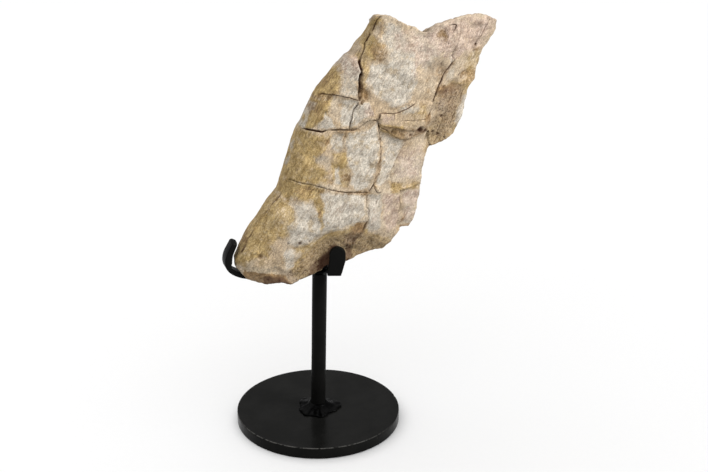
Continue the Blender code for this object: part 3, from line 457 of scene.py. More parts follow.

# Tints and textures of the show face, and under dark also painted shade and shadow: strength, softness,
# outline x, z
AREAS = {
    "tan": (
        (0.7, 2, ((23, 250), (27, 257), (32, 270), (36, 275), (39.5, 273), (36, 265), (31, 250))),
        (0.6, 2.5, ((30, 258), (35, 260), (40, 257), (33, 246), (30, 238), (29, 226), (26, 222),
                    (25, 242), (22, 249), (27, 257))),
        (1, 2.5, ((12, 244), (13, 236), (10, 229), (5, 226), (-9, 225.5), (0, 236))),
        (0.9, 2.5, ((-9, 225), (8, 226.5), (5, 217), (-1, 211), (-4, 207), (-15, 207.5))),
        (0.85, 3, ((-14, 206), (-3, 205.5), (0, 196), (-4, 188), (2, 181), (1, 172), (-26, 174),
                   (-20, 188))),
        (0.6, 2, ((-4, 205), (6, 205), (4, 194), (-2, 194))),
        (0.6, 1.5, ((-15, 207), (-6, 207), (-5, 200), (-14, 199))),
        (0.7, 1.6, ((5.5, 192), (13.5, 192), (16, 186), (16, 169), (10, 169), (5, 176))),
        (1, 2.5, ((-28, 176.5), (1, 171), (0, 165), (-10, 162.5), (-20, 165), (-34, 165))),
        (0.8, 3.5, ((-35, 168), (-27, 163), (-29, 150), (-29, 140), (-33, 131), (-42, 125), (-58, 119),
                    (-58, 132), (-45, 152))),
        (0.4, 3, ((-52, 130), (-32, 130), (-28, 114), (-50, 112))),
        (0.65, 2, ((-32, 166), (-20, 163), (-18.5, 152), (-21, 140), (-27, 138), (-33, 150))),
        (0.8, 1.5, ((-6, 165), (-0.5, 166), (1, 156), (1, 144), (-3, 143), (-5.5, 152))),
        (0.6, 2.5, ((-20, 128), (-16, 137), (-6, 141), (-4, 134), (-12, 126))),
        (0.85, 2.5, ((-21, 116), (-14, 126), (-7, 134), (0, 139.5), (14, 142), (27, 142), (31, 135),
                     (38, 132), (48, 128), (44, 118), (20, 112), (-12, 104))),
        (0.6, 2, ((45, 168), (66, 165), (65, 158), (44.5, 162))),
        (0.55, 2, ((44, 160), (52, 160), (53, 145), (47, 146))),
        (0.7, 4, ((72, 224), (84, 229), (106, 228), (100, 200), (88, 184), (69, 184), (70, 198),
                  (74, 211))),
        (0.5, 4, ((95, 245), (106, 250), (108, 240), (105, 226), (94, 227))),
        (0.4, 2, ((52, 269), (59, 269), (60, 261), (54, 260))),
        (0.45, 4, ((50, 216), (68, 219), (70, 206), (50, 206))),
        (0.9, 1.5, ((36, 208), (51, 206), (53, 197), (45, 197.5), (38, 203))),
    ),
    "pale": (
        (0.95, 3, ((31, 246), (40, 244), (52, 250), (61, 244), (60.5, 230), (54, 220.5), (47, 219),
                   (39, 222), (33, 228), (29, 236))),
        (0.75, 3.5, ((41, 271), (50, 268), (57, 256), (62, 247), (52, 241), (40, 243), (42, 252),
                     (40, 262))),
        (0.8, 1.5, ((24, 248), (24, 236), (18, 236), (15, 243), (19, 249))),
        (0.6, 1.8, ((23, 247), (23, 227), (14, 227), (12.5, 231), (15, 239))),
        (0.95, 1.2, ((12.5, 245), (13, 249), (18.5, 254), (21, 250), (17, 245))),
        (0.85, 1.5, ((2.5, 217.5), (5.5, 214), (8, 208), (-2, 207.5), (-1.5, 212))),
        (1, 1.8, ((13, 225), (23, 225), (18, 208.5), (12.5, 208.5))),
        (0.85, 1.3, ((23, 223.5), (30, 222.5), (31.5, 215), (25.5, 213), (21.5, 209), (17.5, 208.5),
                     (18.5, 216.5))),
        (0.95, 2, ((15, 200), (17, 204), (25, 205), (35, 209), (36.5, 195), (34.5, 184), (32, 174),
                   (28, 167), (21, 167), (17.5, 172), (17, 180), (15, 190))),
        (0.8, 1.8, ((5, 203), (13, 204), (14, 196), (10, 192), (6, 195))),
        (0.5, 2.2, ((-5, 191), (1, 192), (5, 189), (4, 186), (-5, 186))),
        (0.85, 1.3, ((7, 181), (11, 183), (11.5, 170.5), (6.5, 171.5))),
        (0.8, 2.5, ((38, 200), (48, 197), (53, 194), (47, 180), (40, 168), (35, 166), (35, 174),
                    (38, 188))),
        (0.55, 3, ((51, 184), (67, 183), (67, 168), (47, 169))),
        (0.95, 2.5, ((-18, 159), (-14, 161), (-8, 160.5), (-4, 152), (-2, 143), (-7, 136), (-16, 133),
                     (-23, 136), (-22, 147), (-18, 151))),
        (1, 2, ((-3, 168), (8, 166.5), (19, 164), (27, 162), (26.5, 150), (20, 144), (10, 142), (-1, 140),
                (-1.5, 152), (1, 158))),
        (0.95, 1.8, ((29.5, 162), (38, 162.5), (37, 152), (38, 143), (36, 136), (30.5, 137), (28.5, 148))),
        (0.7, 2, ((53.5, 160), (66, 159), (64.5, 142), (61, 134), (55, 138))),
        (0.45, 2, ((-26, 140), (-10, 143), (5, 146), (20, 147), (32, 145), (32, 139), (18, 141), (0, 138),
                   (-14, 133), (-24, 134))),
        (0.75, 2, ((-25, 133), (-19, 131), (-19, 119), (-24, 117), (-27, 125))),
        (0.35, 4, ((-48, 121), (-30, 124), (-27, 114), (-46, 113))),
        (0.8, 0.9, ((-11.5, 207), (-8.5, 207.5), (-4, 217), (-1, 223), (-5, 222))),
        (0.7, 3, ((48, 218), (60, 220), (62, 214), (50, 213))),
        (0.65, 1.2, ((-15.5, 207), (-12.5, 206), (-16, 195), (-19, 183), (-22, 184), (-19, 197))),
        (0.6, 1.5, ((82, 249), (86.5, 249), (87, 244), (83.5, 241))),
        (0.6, 1.5, ((82, 238), (86.5, 238), (87, 231), (81, 230.5))),
        (0.95, 1.8, ((89, 199), (92, 206), (95, 216), (101, 218), (97, 203), (93, 196))),
        (0.65, 5, ((56, 264), (72, 264), (78, 248), (68, 238), (58, 244))),
        (0.6, 3, ((78, 216), (84, 216), (84, 208), (76, 208))),
    ),
    "pink": (
        (0.7, 5, ((62, 262), (72, 268), (96, 272), (120, 268), (108, 250), (96, 244), (81, 246),
                  (68, 250))),
        (0.5, 3, ((44, 264), (52, 266), (60, 256), (56, 250), (46, 254))),
        (0.5, 4, ((52, 268), (64, 264), (74, 262), (76, 248), (64, 240), (54, 252))),
        (0.55, 3, ((58, 252), (63, 244), (62, 234), (57, 236))),
        (0.45, 3, ((51.5, 184), (67, 183), (66, 168), (46.5, 169))),
        (0.65, 2.5, ((38, 163), (52, 161), (53, 145), (50, 135), (43, 134), (40, 142))),
        (0.45, 2, ((25, 250), (22, 252), (15, 245), (16, 236), (24, 240))),
        (0.7, 1.5, ((36, 214.5), (45, 213.5), (46, 209), (38, 208.5))),
        (0.5, 2, ((24, 222), (31, 222), (32, 214), (26, 213))),
        (0.45, 4, ((72, 225), (84, 228), (96, 222), (88, 205), (75, 205))),
        (0.6, 2.5, ((52, 160), (66, 160), (64, 136), (54, 138))),
        (0.5, 4, ((50, 190), (68, 190), (68, 168), (46, 168))),
        (0.3, 3, ((29, 160), (37, 160), (36, 140), (30, 140))),
        (0.25, 3, ((5, 160), (18, 160), (18, 150), (5, 150))),
    ),
    "brown": (
        (0.55, 1.8, ((33.5, 257.5), (39.5, 257.5), (41, 252.5), (40.5, 247), (37, 246), (33.5, 247.5),
                     (31, 252))),
        (0.15, 1.6, ((33, 277), (37, 276), (31, 266), (27, 255), (24.5, 242), (20, 251), (27, 264))),
        (0.6, 1.6, ((-8, 226), (10, 229.5), (8, 226), (-4, 224.5))),
        (0.4, 2.5, ((-2, 231), (10, 243), (12, 236), (6, 229))),
        (0.45, 2, ((-7, 224), (5, 225), (1, 214), (-6, 214))),
        (0.6, 2, ((74, 265), (78, 264), (81, 258), (79, 255.5), (74, 259))),
        (0.95, 2, ((72.5, 227), (79, 229), (83, 226.5), (94, 225), (93, 220), (86, 218), (77, 220))),
        (0.5, 2, ((76, 241), (80, 241), (82, 236), (78, 231), (74, 233))),
        (0.7, 1.5, ((2, 203), (5, 202), (4.5, 197), (1.5, 197))),
        (0.85, 1.3, ((11.5, 178), (17, 178), (17, 174), (12, 173.5))),
        (0.4, 2, ((-22, 171), (-4, 172.5), (-2, 167), (-9, 163), (-14, 164))),
        (0.8, 1.2, ((-5, 156), (-2, 157), (-1.5, 152), (-4, 152))),
        (0.5, 1.2, ((34, 208), (43, 206.5), (50, 204.5), (61.5, 202.5), (70, 202), (70, 197), (56.5, 195),
                    (47.5, 197), (41.5, 201))),
        (0.7, 1.3, ((23, 234), (26, 236), (30, 228), (29.5, 222.5), (22, 223), (21, 228))),
        (0.4, 2, ((-14, 110), (-13, 122), (-5, 127), (-2, 120), (-5, 109))),
        (0.25, 1.2, ((4, 208), (20, 207.5), (20, 204.8), (4, 205.8))),
        (0.5, 1, ((-4, 171), (6, 169.5), (13, 167), (28, 165), (28, 162.5), (10, 164.5), (-4, 168))),
        (0.5, 1, ((35.5, 202), (38.5, 200), (38.5, 186), (34, 166), (32, 167), (36.5, 186))),
        (0.15, 3, ((-8, 112), (-6, 124), (0, 133), (10, 138), (22, 139), (30, 134), (30, 122), (20, 112))),
        (0.85, 1.5, ((21, 145), (29, 145), (27, 138), (22, 128), (12, 128), (14, 134))),
        (0.95, 0.8, ((-50, 117), (-39, 116.2), (-31, 115), (-25, 113), (-20, 109), (-20, 100), (-52, 103))),
        (0.6, 1, ((-23, 171), (-31, 160), (-39, 150), (-47, 137), (-53, 127), (-56, 130), (-48, 145),
                  (-36, 160), (-26, 172))),
        (0.4, 1.5, ((97, 244), (99, 249), (105, 250), (104, 244))),
        (0.6, 1.5, ((92, 233), (99, 234), (99, 229), (93, 228))),
        (0.5, 2, ((94, 224), (100, 234), (106, 234), (105, 224))),
        (0.5, 3, ((82, 220), (92, 222), (90, 203), (86, 190), (79, 192))),
        (0.75, 1.5, ((66.5, 210), (71, 211), (72, 203), (67, 202.5))),
        (0.5, 1.5, ((53, 152), (57, 150), (57, 138), (53, 138))),
        (0.6, 1.2, ((52, 136), (62, 136), (61, 132), (52, 132))),
    ),
    "rough": (
        (1, 3.5, ((75.5, 223), (86.5, 224.5), (95, 225), (97, 219), (92.5, 203), (88, 191), (84, 186),
                  (70, 184), (70.3, 196), (74, 210.5))),
        (0.5, 0.7, ((35, 206.9), (44, 204.8), (49.4, 203.4), (58.8, 200.4), (63.5, 201.5), (70, 202),
                    (70, 198), (63.3, 198.4), (57.9, 197), (53.9, 195.8), (48.4, 197.4), (41.5, 202.4))),
        (0.9, 3, ((-27.5, 113), (-17, 119), (-11, 127), (-5, 132.5), (0.5, 135.5), (9, 137), (17, 138.5),
                  (22.5, 138), (27.5, 137), (30.5, 134), (38, 131), (47, 126), (45, 120), (34.5, 116),
                  (23, 113), (12.5, 111), (-14.5, 104))),
        (0.5, 3, ((67, 243), (76, 246), (84, 240), (82, 230), (72, 230), (66, 235))),
        (0.6, 2.5, ((-23, 105), (-46, 109), (-46, 114), (-24, 111))),
    ),
    "dark": (
        # Painted shadow that the front tab casts on the bevel to its left
        (0.7, 1.5, ((-3, 112), (-2, 118), (1, 123.5), (5, 128.5), (9, 129.5), (9, 118), (5, 112))),
        # Darker along the bottom edge over the claw bar
        (0.5, 1.2, ((-38, 114.3), (-30, 113.6), (-25, 112), (-21, 108), (-22, 100), (-40, 103))),
        # Darker right of the tab, where the crack ends
        (0.5, 1.3, ((16, 129), (20, 127), (22, 120), (19, 114), (16, 117))),
        # Darker left of the tab, just over the rod
        (0.5, 1.5, ((-9, 109), (-8, 117), (-3, 121), (0, 112))),
        # Painted shade in the deep pit under the ledge
        (0.6, 1, ((61.5, 202.5), (66, 202), (66, 199), (62, 199))),
        # Darker band along the top of the rough lobe
        (0.35, 1.5, ((75, 226), (80, 226.5), (90, 223.5), (90, 221), (82, 221), (76, 222))),
    ),
}


def clear_start():
    """Remove whatever lights and cameras the file opened with."""
    for obj in list(bpy.data.objects):
        if obj.type in ("LIGHT", "CAMERA"):
            bpy.data.objects.remove(obj, do_unlink=True)


def linear(red, green, blue):
    """Surface colour that shows as these 0 to 255 values in the studio light."""
    channels = []
    for value in (red, green, blue):
        share = value / 255
        bright = share / 12.92 if share <= 0.04045 else ((share + 0.055) / 1.055) ** 2.4
        channels.append(bright * LIGHT_SHARE)
    return (*channels, 1.0)


def lump_noise(points, wavelength, seed):
    """Smooth noise from about -1 to 1 with lumps of one size."""
    shift = Vector((seed * 17.31, seed * 5.17, seed * 9.73))
    return np.array([noise.noise(Vector(p) / wavelength + shift) for p in points])


def layered_noise(points, wavelength, octaves, seed):
    """Noise whose finer layers are each half as strong as the last."""
    total = np.zeros(len(points))
    for octave in range(octaves):
        total += lump_noise(points, wavelength / 2**octave, seed + octave) / 2**octave
    return total


def cell_gap(points, wavelength, seed):
    """Distance to the nearest of scattered spots, in cell widths."""
    shift = Vector((seed * 7.7, seed * 3.1, seed * 5.9))
    return np.array([noise.voronoi(Vector(p) / wavelength + shift)[0][0] for p in points])


def smooth_step(value, low, high):
    """Smooth rise from 0 at low to 1 at high, the other way where low is more."""
    share = np.clip((value - low) / (high - low), 0.0, 1.0)
    return share * share * (3 - 2 * share)


def along_grain(points, stretch):
    """Points turned to the rib's long axis and shortened along it."""
    side = points[:, 0] * math.cos(GRAIN_TILT) - points[:, 2] * math.sin(GRAIN_TILT)
    length = points[:, 0] * math.sin(GRAIN_TILT) + points[:, 2] * math.cos(GRAIN_TILT)
    return np.column_stack((side, points[:, 1], length / stretch))


def add_piece(name, points, faces, material, nodes, sharp_angle=None):
    """Make one piece from points in millimetres, in place of CAD nodes."""
    mesh = bpy.data.meshes.new(name)
    mesh.from_pydata((np.asarray(points, float) * MM).tolist(), [], faces)
    work = bmesh.new()
    work.from_mesh(mesh)
    bmesh.ops.recalc_face_normals(work, faces=work.faces)
    work.to_mesh(mesh)
    work.free()
    mesh.materials.append(material)
    mesh.shade_smooth()
    if sharp_angle is not None:
        mesh.set_sharp_from_angle(angle=math.radians(sharp_angle))
    obj = bpy.data.objects.new(name, mesh)
    bpy.context.scene.collection.objects.link(obj)
    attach(obj, "root")
    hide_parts(*nodes)
    return obj


def bridge(first, second, count):
    """Quads between two closed rings of point numbers."""
    quads = []
    for i in range(count):
        j = (i + 1) % count
        quads.append((first + i, first + j, second + j, second + i))
    return quads


def tube_faces(rings, sides):
    """Quads between rings of points in turn, and a cap at each end."""
    faces = []
    for ring in range(rings - 1):
        faces += bridge(ring * sides, (ring + 1) * sides, sides)
    last = (rings - 1) * sides
    return faces + [tuple(range(sides)), tuple(range(last, last + sides))]


class NodeTree:
    """Adds and links the nodes of one material."""

    def __init__(self, name):
        self.material = bpy.data.materials.new(name)
        self.material.use_nodes = True
        self.tree = self.material.node_tree
        self.shader = self.tree.nodes["Principled BSDF"]

    def add(self, kind, inputs=(), **settings):
        """One node, its settings and its inputs by name or number."""
        node = self.tree.nodes.new("ShaderNode" + kind)
        for key, value in settings.items():
            setattr(node, key, value)
        for key, value in dict(inputs).items():
            self.feed(node.inputs[key], value)
        return node

    def feed(self, socket, value):
        """Link an output to a socket, or set the socket's own value."""
        if isinstance(value, bpy.types.NodeSocket):
            self.tree.links.new(value, socket)
        else:
            socket.default_value = value

    def place(self):
        """Position on the object itself."""
        return self.add("TexCoord").outputs["Object"]

    def turned(self, vector, tilt, stretch):
        """Position turned to a long axis and stretched along it."""
        inputs = {"Vector": vector, "Rotation": (0.0, tilt, 0.0), "Scale": (1.0, 1.0, stretch)}
        return self.add("Mapping", inputs, vector_type="TEXTURE").outputs["Vector"]

    def noise(self, vector, size, detail=4.0, roughness=0.55):
        """Soft noise whose lumps are about the given size in millimetres."""
        inputs = {"Vector": vector, "Scale": 1000.0 / size, "Detail": detail, "Roughness": roughness}
        return self.add("TexNoise", inputs).outputs["Fac"]

    def cells(self, vector, size):
        """Distance from scattered spots, in cells of the given size."""
        inputs = {"Vector": vector, "Scale": 1000.0 / size}
        return self.add("TexVoronoi", inputs).outputs["Distance"]

    def step(self, value, low, high, bottom=0.0, top=1.0):
        """Smooth rise from bottom at low to top at high."""
        inputs = {"Value": value, "From Min": low, "From Max": high, "To Min": bottom, "To Max": top}
        return self.add("MapRange", inputs, interpolation_type="SMOOTHSTEP").outputs["Result"]

    def maths(self, operation, first, second):
        """One sum on two values."""
        return self.add("Math", {0: first, 1: second}, operation=operation).outputs[0]

    def mix(self, factor, first, second, blend="MIX"):
        """Colour between two colours, or their product."""
        inputs = {0: factor, 6: first, 7: second}
        return self.add("Mix", inputs, data_type="RGBA", blend_type=blend).outputs[2]

    def attribute(self, name):
        """A value that the mesh carries at each of its points."""
        return self.add("Attribute", attribute_name=name).outputs["Fac"]

    def bump(self, height, strength, distance):
        """Fine relief in millimetres from a height."""
        inputs = {"Height": height, "Strength": strength, "Distance": distance * MM}
        return self.add("Bump", inputs).outputs["Normal"]


def bone_material():
    """Weathered fossil bone: tan ground, pale and pink plates, dark specks, painted shade in cracks, pits
    and spongy holes, and the front tab's painted shadow.
    """
    nodes = NodeTree("fossil bone")
    place = nodes.place()
    broad = nodes.noise(place, 26.0, 3.0)
    blotch = nodes.noise(place, 7.0, 5.0, 0.65)
    mottle = nodes.noise(place, 3.0, 5.0, 0.7)
    weave = nodes.noise(nodes.turned(place, GRAIN_TILT, 2.4), 2.4, 4.0, 0.65)
    streak = nodes.noise(nodes.turned(place, GRAIN_TILT, 3.5), 0.85, 4.0, 0.7)
    speck = nodes.noise(place, 0.65, 2.0, 0.6)
    pores = nodes.cells(nodes.turned(place, GRAIN_TILT, 1.8), 1.7)
    ragged = nodes.maths("MULTIPLY", nodes.maths("SUBTRACT", blotch, 0.5), 1.7)
    ragged = nodes.maths("ADD", ragged, nodes.maths("SUBTRACT", mottle, 0.5))
    ragged = nodes.maths("ADD", ragged, nodes.maths("SUBTRACT", streak, 0.5))

    def patch(name, colour, under):
        """Lay one tint over the colour below, with a broken, flecked border."""
        weight = nodes.attribute(name)
        shift = nodes.maths("MULTIPLY", ragged, nodes.step(weight, 0.0, 0.3))
        return nodes.mix(nodes.step(nodes.maths("ADD", weight, shift), 0.1, 0.9), under, colour)

    ground = nodes.mix(nodes.step(broad, 0.35, 0.65), linear(190, 168, 139), linear(199, 182, 158))
    ground = nodes.mix(nodes.step(blotch, 0.5, 0.68), ground, linear(178, 152, 117))
    olive = nodes.mix(nodes.step(weave, 0.32, 0.68), linear(199, 172, 120), linear(166, 138, 87))
    olive = nodes.mix(nodes.step(mottle, 0.56, 0.7, 0.0, 0.6), olive, linear(196, 178, 144))
    colour = patch("tan", olive, ground)
    pale = nodes.mix(nodes.step(weave, 0.36, 0.66), linear(211, 202, 187), linear(194, 182, 165))
    pale = nodes.mix(nodes.step(blotch, 0.53, 0.68, 0.0, 0.7), pale, linear(188, 167, 134))
    colour = patch("pale", pale, colour)
    pink = nodes.mix(nodes.step(mottle, 0.35, 0.7), linear(206, 185, 169), linear(183, 158, 137))
    colour = patch("pink", pink, colour)
    brown = nodes.mix(nodes.step(weave, 0.35, 0.7), linear(162, 133, 95), linear(132, 103, 69))
    colour = patch("brown", brown, colour)
    rough = nodes.attribute("rough")
    grit = nodes.step(nodes.maths("ADD", speck, nodes.maths("MULTIPLY", mottle, 0.6)), 0.68, 0.92)
    spongy = nodes.mix(grit, linear(96, 74, 52), linear(206, 184, 155))
    colour = nodes.mix(nodes.maths("MULTIPLY", rough, 0.65), colour, spongy)
    shade = nodes.step(speck, 0.3, 0.7, 1.28, 0.73)
    for layer, lightest, darkest in ((streak, 1.25, 0.75), (weave, 1.1, 0.9), (mottle, 1.13, 0.87)):
        shade = nodes.maths("MULTIPLY", shade, nodes.step(layer, 0.3, 0.7, lightest, darkest))
    colour = nodes.mix(1.0, colour, shade, "MULTIPLY")
    dots = nodes.step(pores, 0.12, 0.3, 1.0, 0.0)
    dots = nodes.maths("MULTIPLY", dots, nodes.step(blotch, 0.5, 0.66))
    colour = nodes.mix(nodes.maths("MULTIPLY", dots, 0.45), colour, linear(104, 80, 56))
    # Small pores of the spongy parts go dark: painted shade inside them, with no relief of their own
    holes = nodes.step(nodes.cells(place, 1.5), 0.18, 0.36, 1.0, 0.0)
    holes = nodes.maths("MULTIPLY", holes, nodes.maths("MULTIPLY", rough, 0.75))
    colour = nodes.mix(holes, colour, linear(84, 61, 42))
    # Cracks, pits and the dark patches go dark brown: a brown fill, with painted shade in the hollows and
    # the front tab's painted shadow
    dark = nodes.attribute("dark")
    colour = nodes.mix(nodes.step(dark, 0.05, 0.8), colour, linear(80, 49, 30))
    nodes.feed(nodes.shader.inputs["Base Color"], colour)
    nodes.shader.inputs["Roughness"].default_value = 0.82
    nodes.shader.inputs["Specular IOR Level"].default_value = 0.25
    height = nodes.maths("ADD", nodes.maths("MULTIPLY", streak, 0.5), nodes.maths("MULTIPLY", mottle, 0.8))
    height = nodes.maths("ADD", height, nodes.maths("MULTIPLY", weave, 0.8))
    height = nodes.maths("SUBTRACT", height, nodes.maths("MULTIPLY", dots, 0.4))
    nodes.feed(nodes.shader.inputs["Normal"], nodes.bump(height, 1.0, 0.9))
    return nodes.material


def paint_material(name, shine, smoothest, roughest):
    """Black paint on steel, slightly textured, dusty, and chipped along its rim edge, where a painted
    highlight also lies.
    """
    nodes = NodeTree(name)
    place = nodes.place()
    cloud = nodes.noise(place, 14.0, 4.0)
    peel = nodes.noise(place, 0.9, 3.0)
    dust = nodes.noise(place, 2.6, 6.0, 0.7)
    chips = nodes.step(nodes.noise(place, 2.0, 4.0, 0.7), 0.4, 0.52)
    cloudy = nodes.step(cloud, 0.35, 0.7)
    colour = nodes.mix(cloudy, (0.004, 0.004, 0.0037, 1.0), (0.0055, 0.0054, 0.005, 1.0))
    colour = nodes.mix(nodes.step(dust, 0.66, 0.8, 0.0, 0.4), colour, (0.02, 0.019, 0.018, 1.0))
    # Lighter line where the mesh marks the rim edge: a painted highlight, broken up by chipped paint
    wear_and_highlight = nodes.maths("MULTIPLY", nodes.attribute("wear_and_highlight"), chips)
    colour = nodes.mix(wear_and_highlight, colour, (0.06, 0.058, 0.054, 1.0))
    nodes.feed(nodes.shader.inputs["Base Color"], colour)
    nodes.feed(nodes.shader.inputs["Roughness"], nodes.step(cloud, 0.3, 0.7, smoothest, roughest))
    nodes.shader.inputs["Specular IOR Level"].default_value = shine
    nodes.feed(nodes.shader.inputs["Normal"], nodes.bump(peel, 0.25, 0.12))
    return nodes.material


def weld_material():
    """Thick glossy black paint over the weld beads."""
    nodes = NodeTree("glossy black weld")
    place = nodes.place()
    ripple = nodes.noise(place, 2.2, 3.0)
    cloud = nodes.noise(place, 7.0, 3.0)
    cloudy = nodes.step(cloud, 0.4, 0.7)
    colour = nodes.mix(cloudy, (0.0005, 0.0005, 0.0005, 1.0), (0.001, 0.001, 0.0009, 1.0))
    nodes.feed(nodes.shader.inputs["Base Color"], colour)
    nodes.feed(nodes.shader.inputs["Roughness"], nodes.step(cloud, 0.3, 0.7, 0.12, 0.3))
    nodes.shader.inputs["Specular IOR Level"].default_value = 0.025
    nodes.feed(nodes.shader.inputs["Normal"], nodes.bump(ripple, 0.5, 0.4))
    return nodes.material


def rounded_corner(radius, height, size, top):
    """Profile pairs round one outer edge of a turned plate."""
    pairs = []
    for step in range(CORNER_STEPS + 1):
        angle = math.pi / 2 * step / CORNER_STEPS
        reach = radius - size + size * math.cos(angle)
        rise = size * math.sin(angle)
        pairs.append((reach, height - size + rise if top else height + size - rise))
    return pairs if top else list(reversed(pairs))


def make_disc(material):
    """Round base plate with eased edges, a sawn rim and one nick."""
    profile = [(radius, 0.0) for radius in DISC_UNDER_RINGS]
    profile += rounded_corner(DISC_RADIUS, 0.0, DISC_EDGE, False)
    profile += [(DISC_RADIUS, DISC_THICK * share) for share in (0.3, 0.5, 0.7)]
    profile += rounded_corner(DISC_RADIUS, DISC_THICK, DISC_EDGE, True)
    profile += [(radius, DISC_THICK) for radius in DISC_TOP_RINGS]
    points = []
    wear_and_highlight = []
    for radius, z in profile:
        on_edge = z > DISC_THICK - DISC_EDGE and radius > DISC_RADIUS - DISC_EDGE
        for i in range(DISC_SIDES):
            angle = math.tau * i / DISC_SIDES
            # Painted highlight along the top rim edge, strongest on the front-left and gone on the far side
            wear_and_highlight.append(max(0.0, math.cos(angle - RIM_HIGHLIGHT_ANGLE)) if on_edge else 0.0)
            reach = radius
            if radius > DISC_RADIUS - RIM_BAND:
                saw = noise.noise(Vector((angle * 60, z * 0.25, 1.5))) * SAW_DEPTH
                off = math.remainder(angle - NICK_ANGLE, math.tau) * DISC_RADIUS
                cut = NICK_DEPTH * max(0.0, 1 - abs(off) / NICK_WIDTH)
                reach = radius - SAW_DEPTH - saw - cut
            points.append((reach * math.cos(angle), reach * math.sin(angle), z))
    faces = tube_faces(len(profile), DISC_SIDES)
    disc = add_piece("stand_disc", points, faces, material, ["base_disc"], 50)
    disc.data.attributes.new("wear_and_highlight", "FLOAT", "POINT").data.foreach_set("value", wear_and_highlight)


def rod_centre(z):
    """Middle of the rod at one height, as it leans a little to the right."""
    return ROD_LEAN * (z - DISC_THICK) / (ROD_TOP - DISC_THICK), 0.0


def make_rod(material):
    """Upright round rod with faint runs in its paint."""
    bottom = DISC_THICK + GAP
    top = ROD_TOP - GAP
    points = []
    for level in range(ROD_LEVELS + 1):
        z = bottom + (top - bottom) * level / ROD_LEVELS
        cx, cy = rod_centre(z)
        for i in range(ROD_SIDES):
            angle = math.tau * i / ROD_SIDES
            run = noise.noise(Vector((math.cos(angle) * 2, math.sin(angle) * 2, z / 14)))
            reach = ROD_RADIUS + ROD_RUNS * run
            points.append((cx + reach * math.cos(angle), cy + reach * math.sin(angle), z))
    faces = tube_faces(ROD_LEVELS + 1, ROD_SIDES)
    add_piece("stand_rod", points, faces, material, ["rod"], 50)


def make_weld(name, profile, base, ripple, node, material):
    """Lumpy weld bead round the rod, its rings set on a base height."""
    points = []
    faces = []
    for number, (radius, rise, share) in enumerate(profile):
        z = base + rise
        cx, cy = rod_centre(z)
        for i in range(WELD_SIDES):
            angle = math.tau * i / WELD_SIDES
            wave = sum(size * math.cos(count * angle + phase) for count, size, phase in LOBES)
            spot = Vector((math.cos(angle) * radius, math.sin(angle) * radius, z * 1.5)) / 3.0
            bump = ripple * share * noise.noise(spot)
            reach = radius + share * wave + bump
            up = z + 0.5 * bump if 0 < number < len(profile) - 1 else z
            points.append((cx + reach * math.cos(angle), cy + reach * math.sin(angle), up))
    for level in range(len(profile)):
        after = (level + 1) % len(profile)
        faces += bridge(level * WELD_SIDES, after * WELD_SIDES, WELD_SIDES)
    add_piece(name, points, faces, material, [node])


def strip_section(low, high, thick):
    """Rounded oblong across a strip: pairs of side and rise."""
    half = thick / 2
    turn = min(STRIP_ROUND, (high - low) / 2 * 0.98, half * 0.98)
    corners = (
        (high - turn, half - turn, 0.0),
        (low + turn, half - turn, 0.5),
        (low + turn, turn - half, 1.0),
        (high - turn, turn - half, 1.5),
    )
    pairs = []
    for side, rise, start in corners:
        for step in range(CORNER_STEPS + 1):
            angle = math.pi * (start + 0.5 * step / CORNER_STEPS)
            pairs.append((side + turn * math.cos(angle), rise + turn * math.sin(angle)))
    return pairs


def strip_body(stations):
    """Flat bar through stations of (centre, across, normal, low, high, thick)."""
    points = []
    for centre, across, normal, low, high, thick in stations:
        pairs = strip_section(low, high, thick)
        points += [tuple(centre + across * side + normal * rise) for side, rise in pairs]
    return points, tube_faces(len(stations), len(pairs))


def curve_between(before, start, end, after, t):
    """Place on the smooth curve from start to end, led by its neighbours."""
    return (
        2 * start
        + (end - before) * t
        + (2 * before - 5 * start + 4 * end - after) * t * t
        + (3 * start - before - 3 * end + after) * t**3
    ) / 2


def finer_path(path, widths, step):
    """Smooth curve through the path's points, with their widths."""
    fine = []
    fine_widths = []
    for i in range(len(path) - 1):
        before = path[max(i - 1, 0)]
        start, end = path[i], path[i + 1]
        after = path[min(i + 2, len(path) - 1)]
        parts = max(1, round((end - start).length / step))
        for part in range(parts):
            t = part / parts
            fine.append(curve_between(before, start, end, after, t))
            fine_widths.append([a + (b - a) * t for a, b in zip(widths[i], widths[i + 1])])
    return fine + [path[-1]], fine_widths + [widths[-1]]


def along_path(path, across, widths):
    """Stations along a bent strip, each square to the path."""
    stations = []
    for i, centre in enumerate(path):
        direction = (path[min(i + 1, len(path) - 1)] - path[max(i - 1, 0)]).normalized()
        normal = across.cross(direction).normalized()
        stations.append((centre, across, normal, *widths[i]))
    return stations


def rounded_end(stations, at_start, round_length, tip_thin=1.0):
    """Add narrowing stations so that the strip's tip is round."""
    centre, across, normal, low, high, thick = stations[0] if at_start else stations[-1]
    direction = normal.cross(across).normalized()
    neighbour = stations[1][0] if at_start else stations[-2][0]
    if direction.dot(centre - neighbour) < 0:
        direction.negate()
    middle = (low + high) / 2
    half = (high - low) / 2
    tips = []
    for part in range(1, TIP_STEPS + 1):
        share = math.sin(math.pi / 2 * part / TIP_STEPS)
        round_share = math.sqrt(1 - share * share)
        width = max(half * round_share, STRIP_ROUND * 0.8)
        thinner = thick * (tip_thin + (1 - tip_thin) * round_share)
        spot = centre + direction * round_length * share
        tips.append((spot, across, normal, middle - width, middle + width, thinner))
    if at_start:
        return list(reversed(tips)) + stations
    return stations + tips


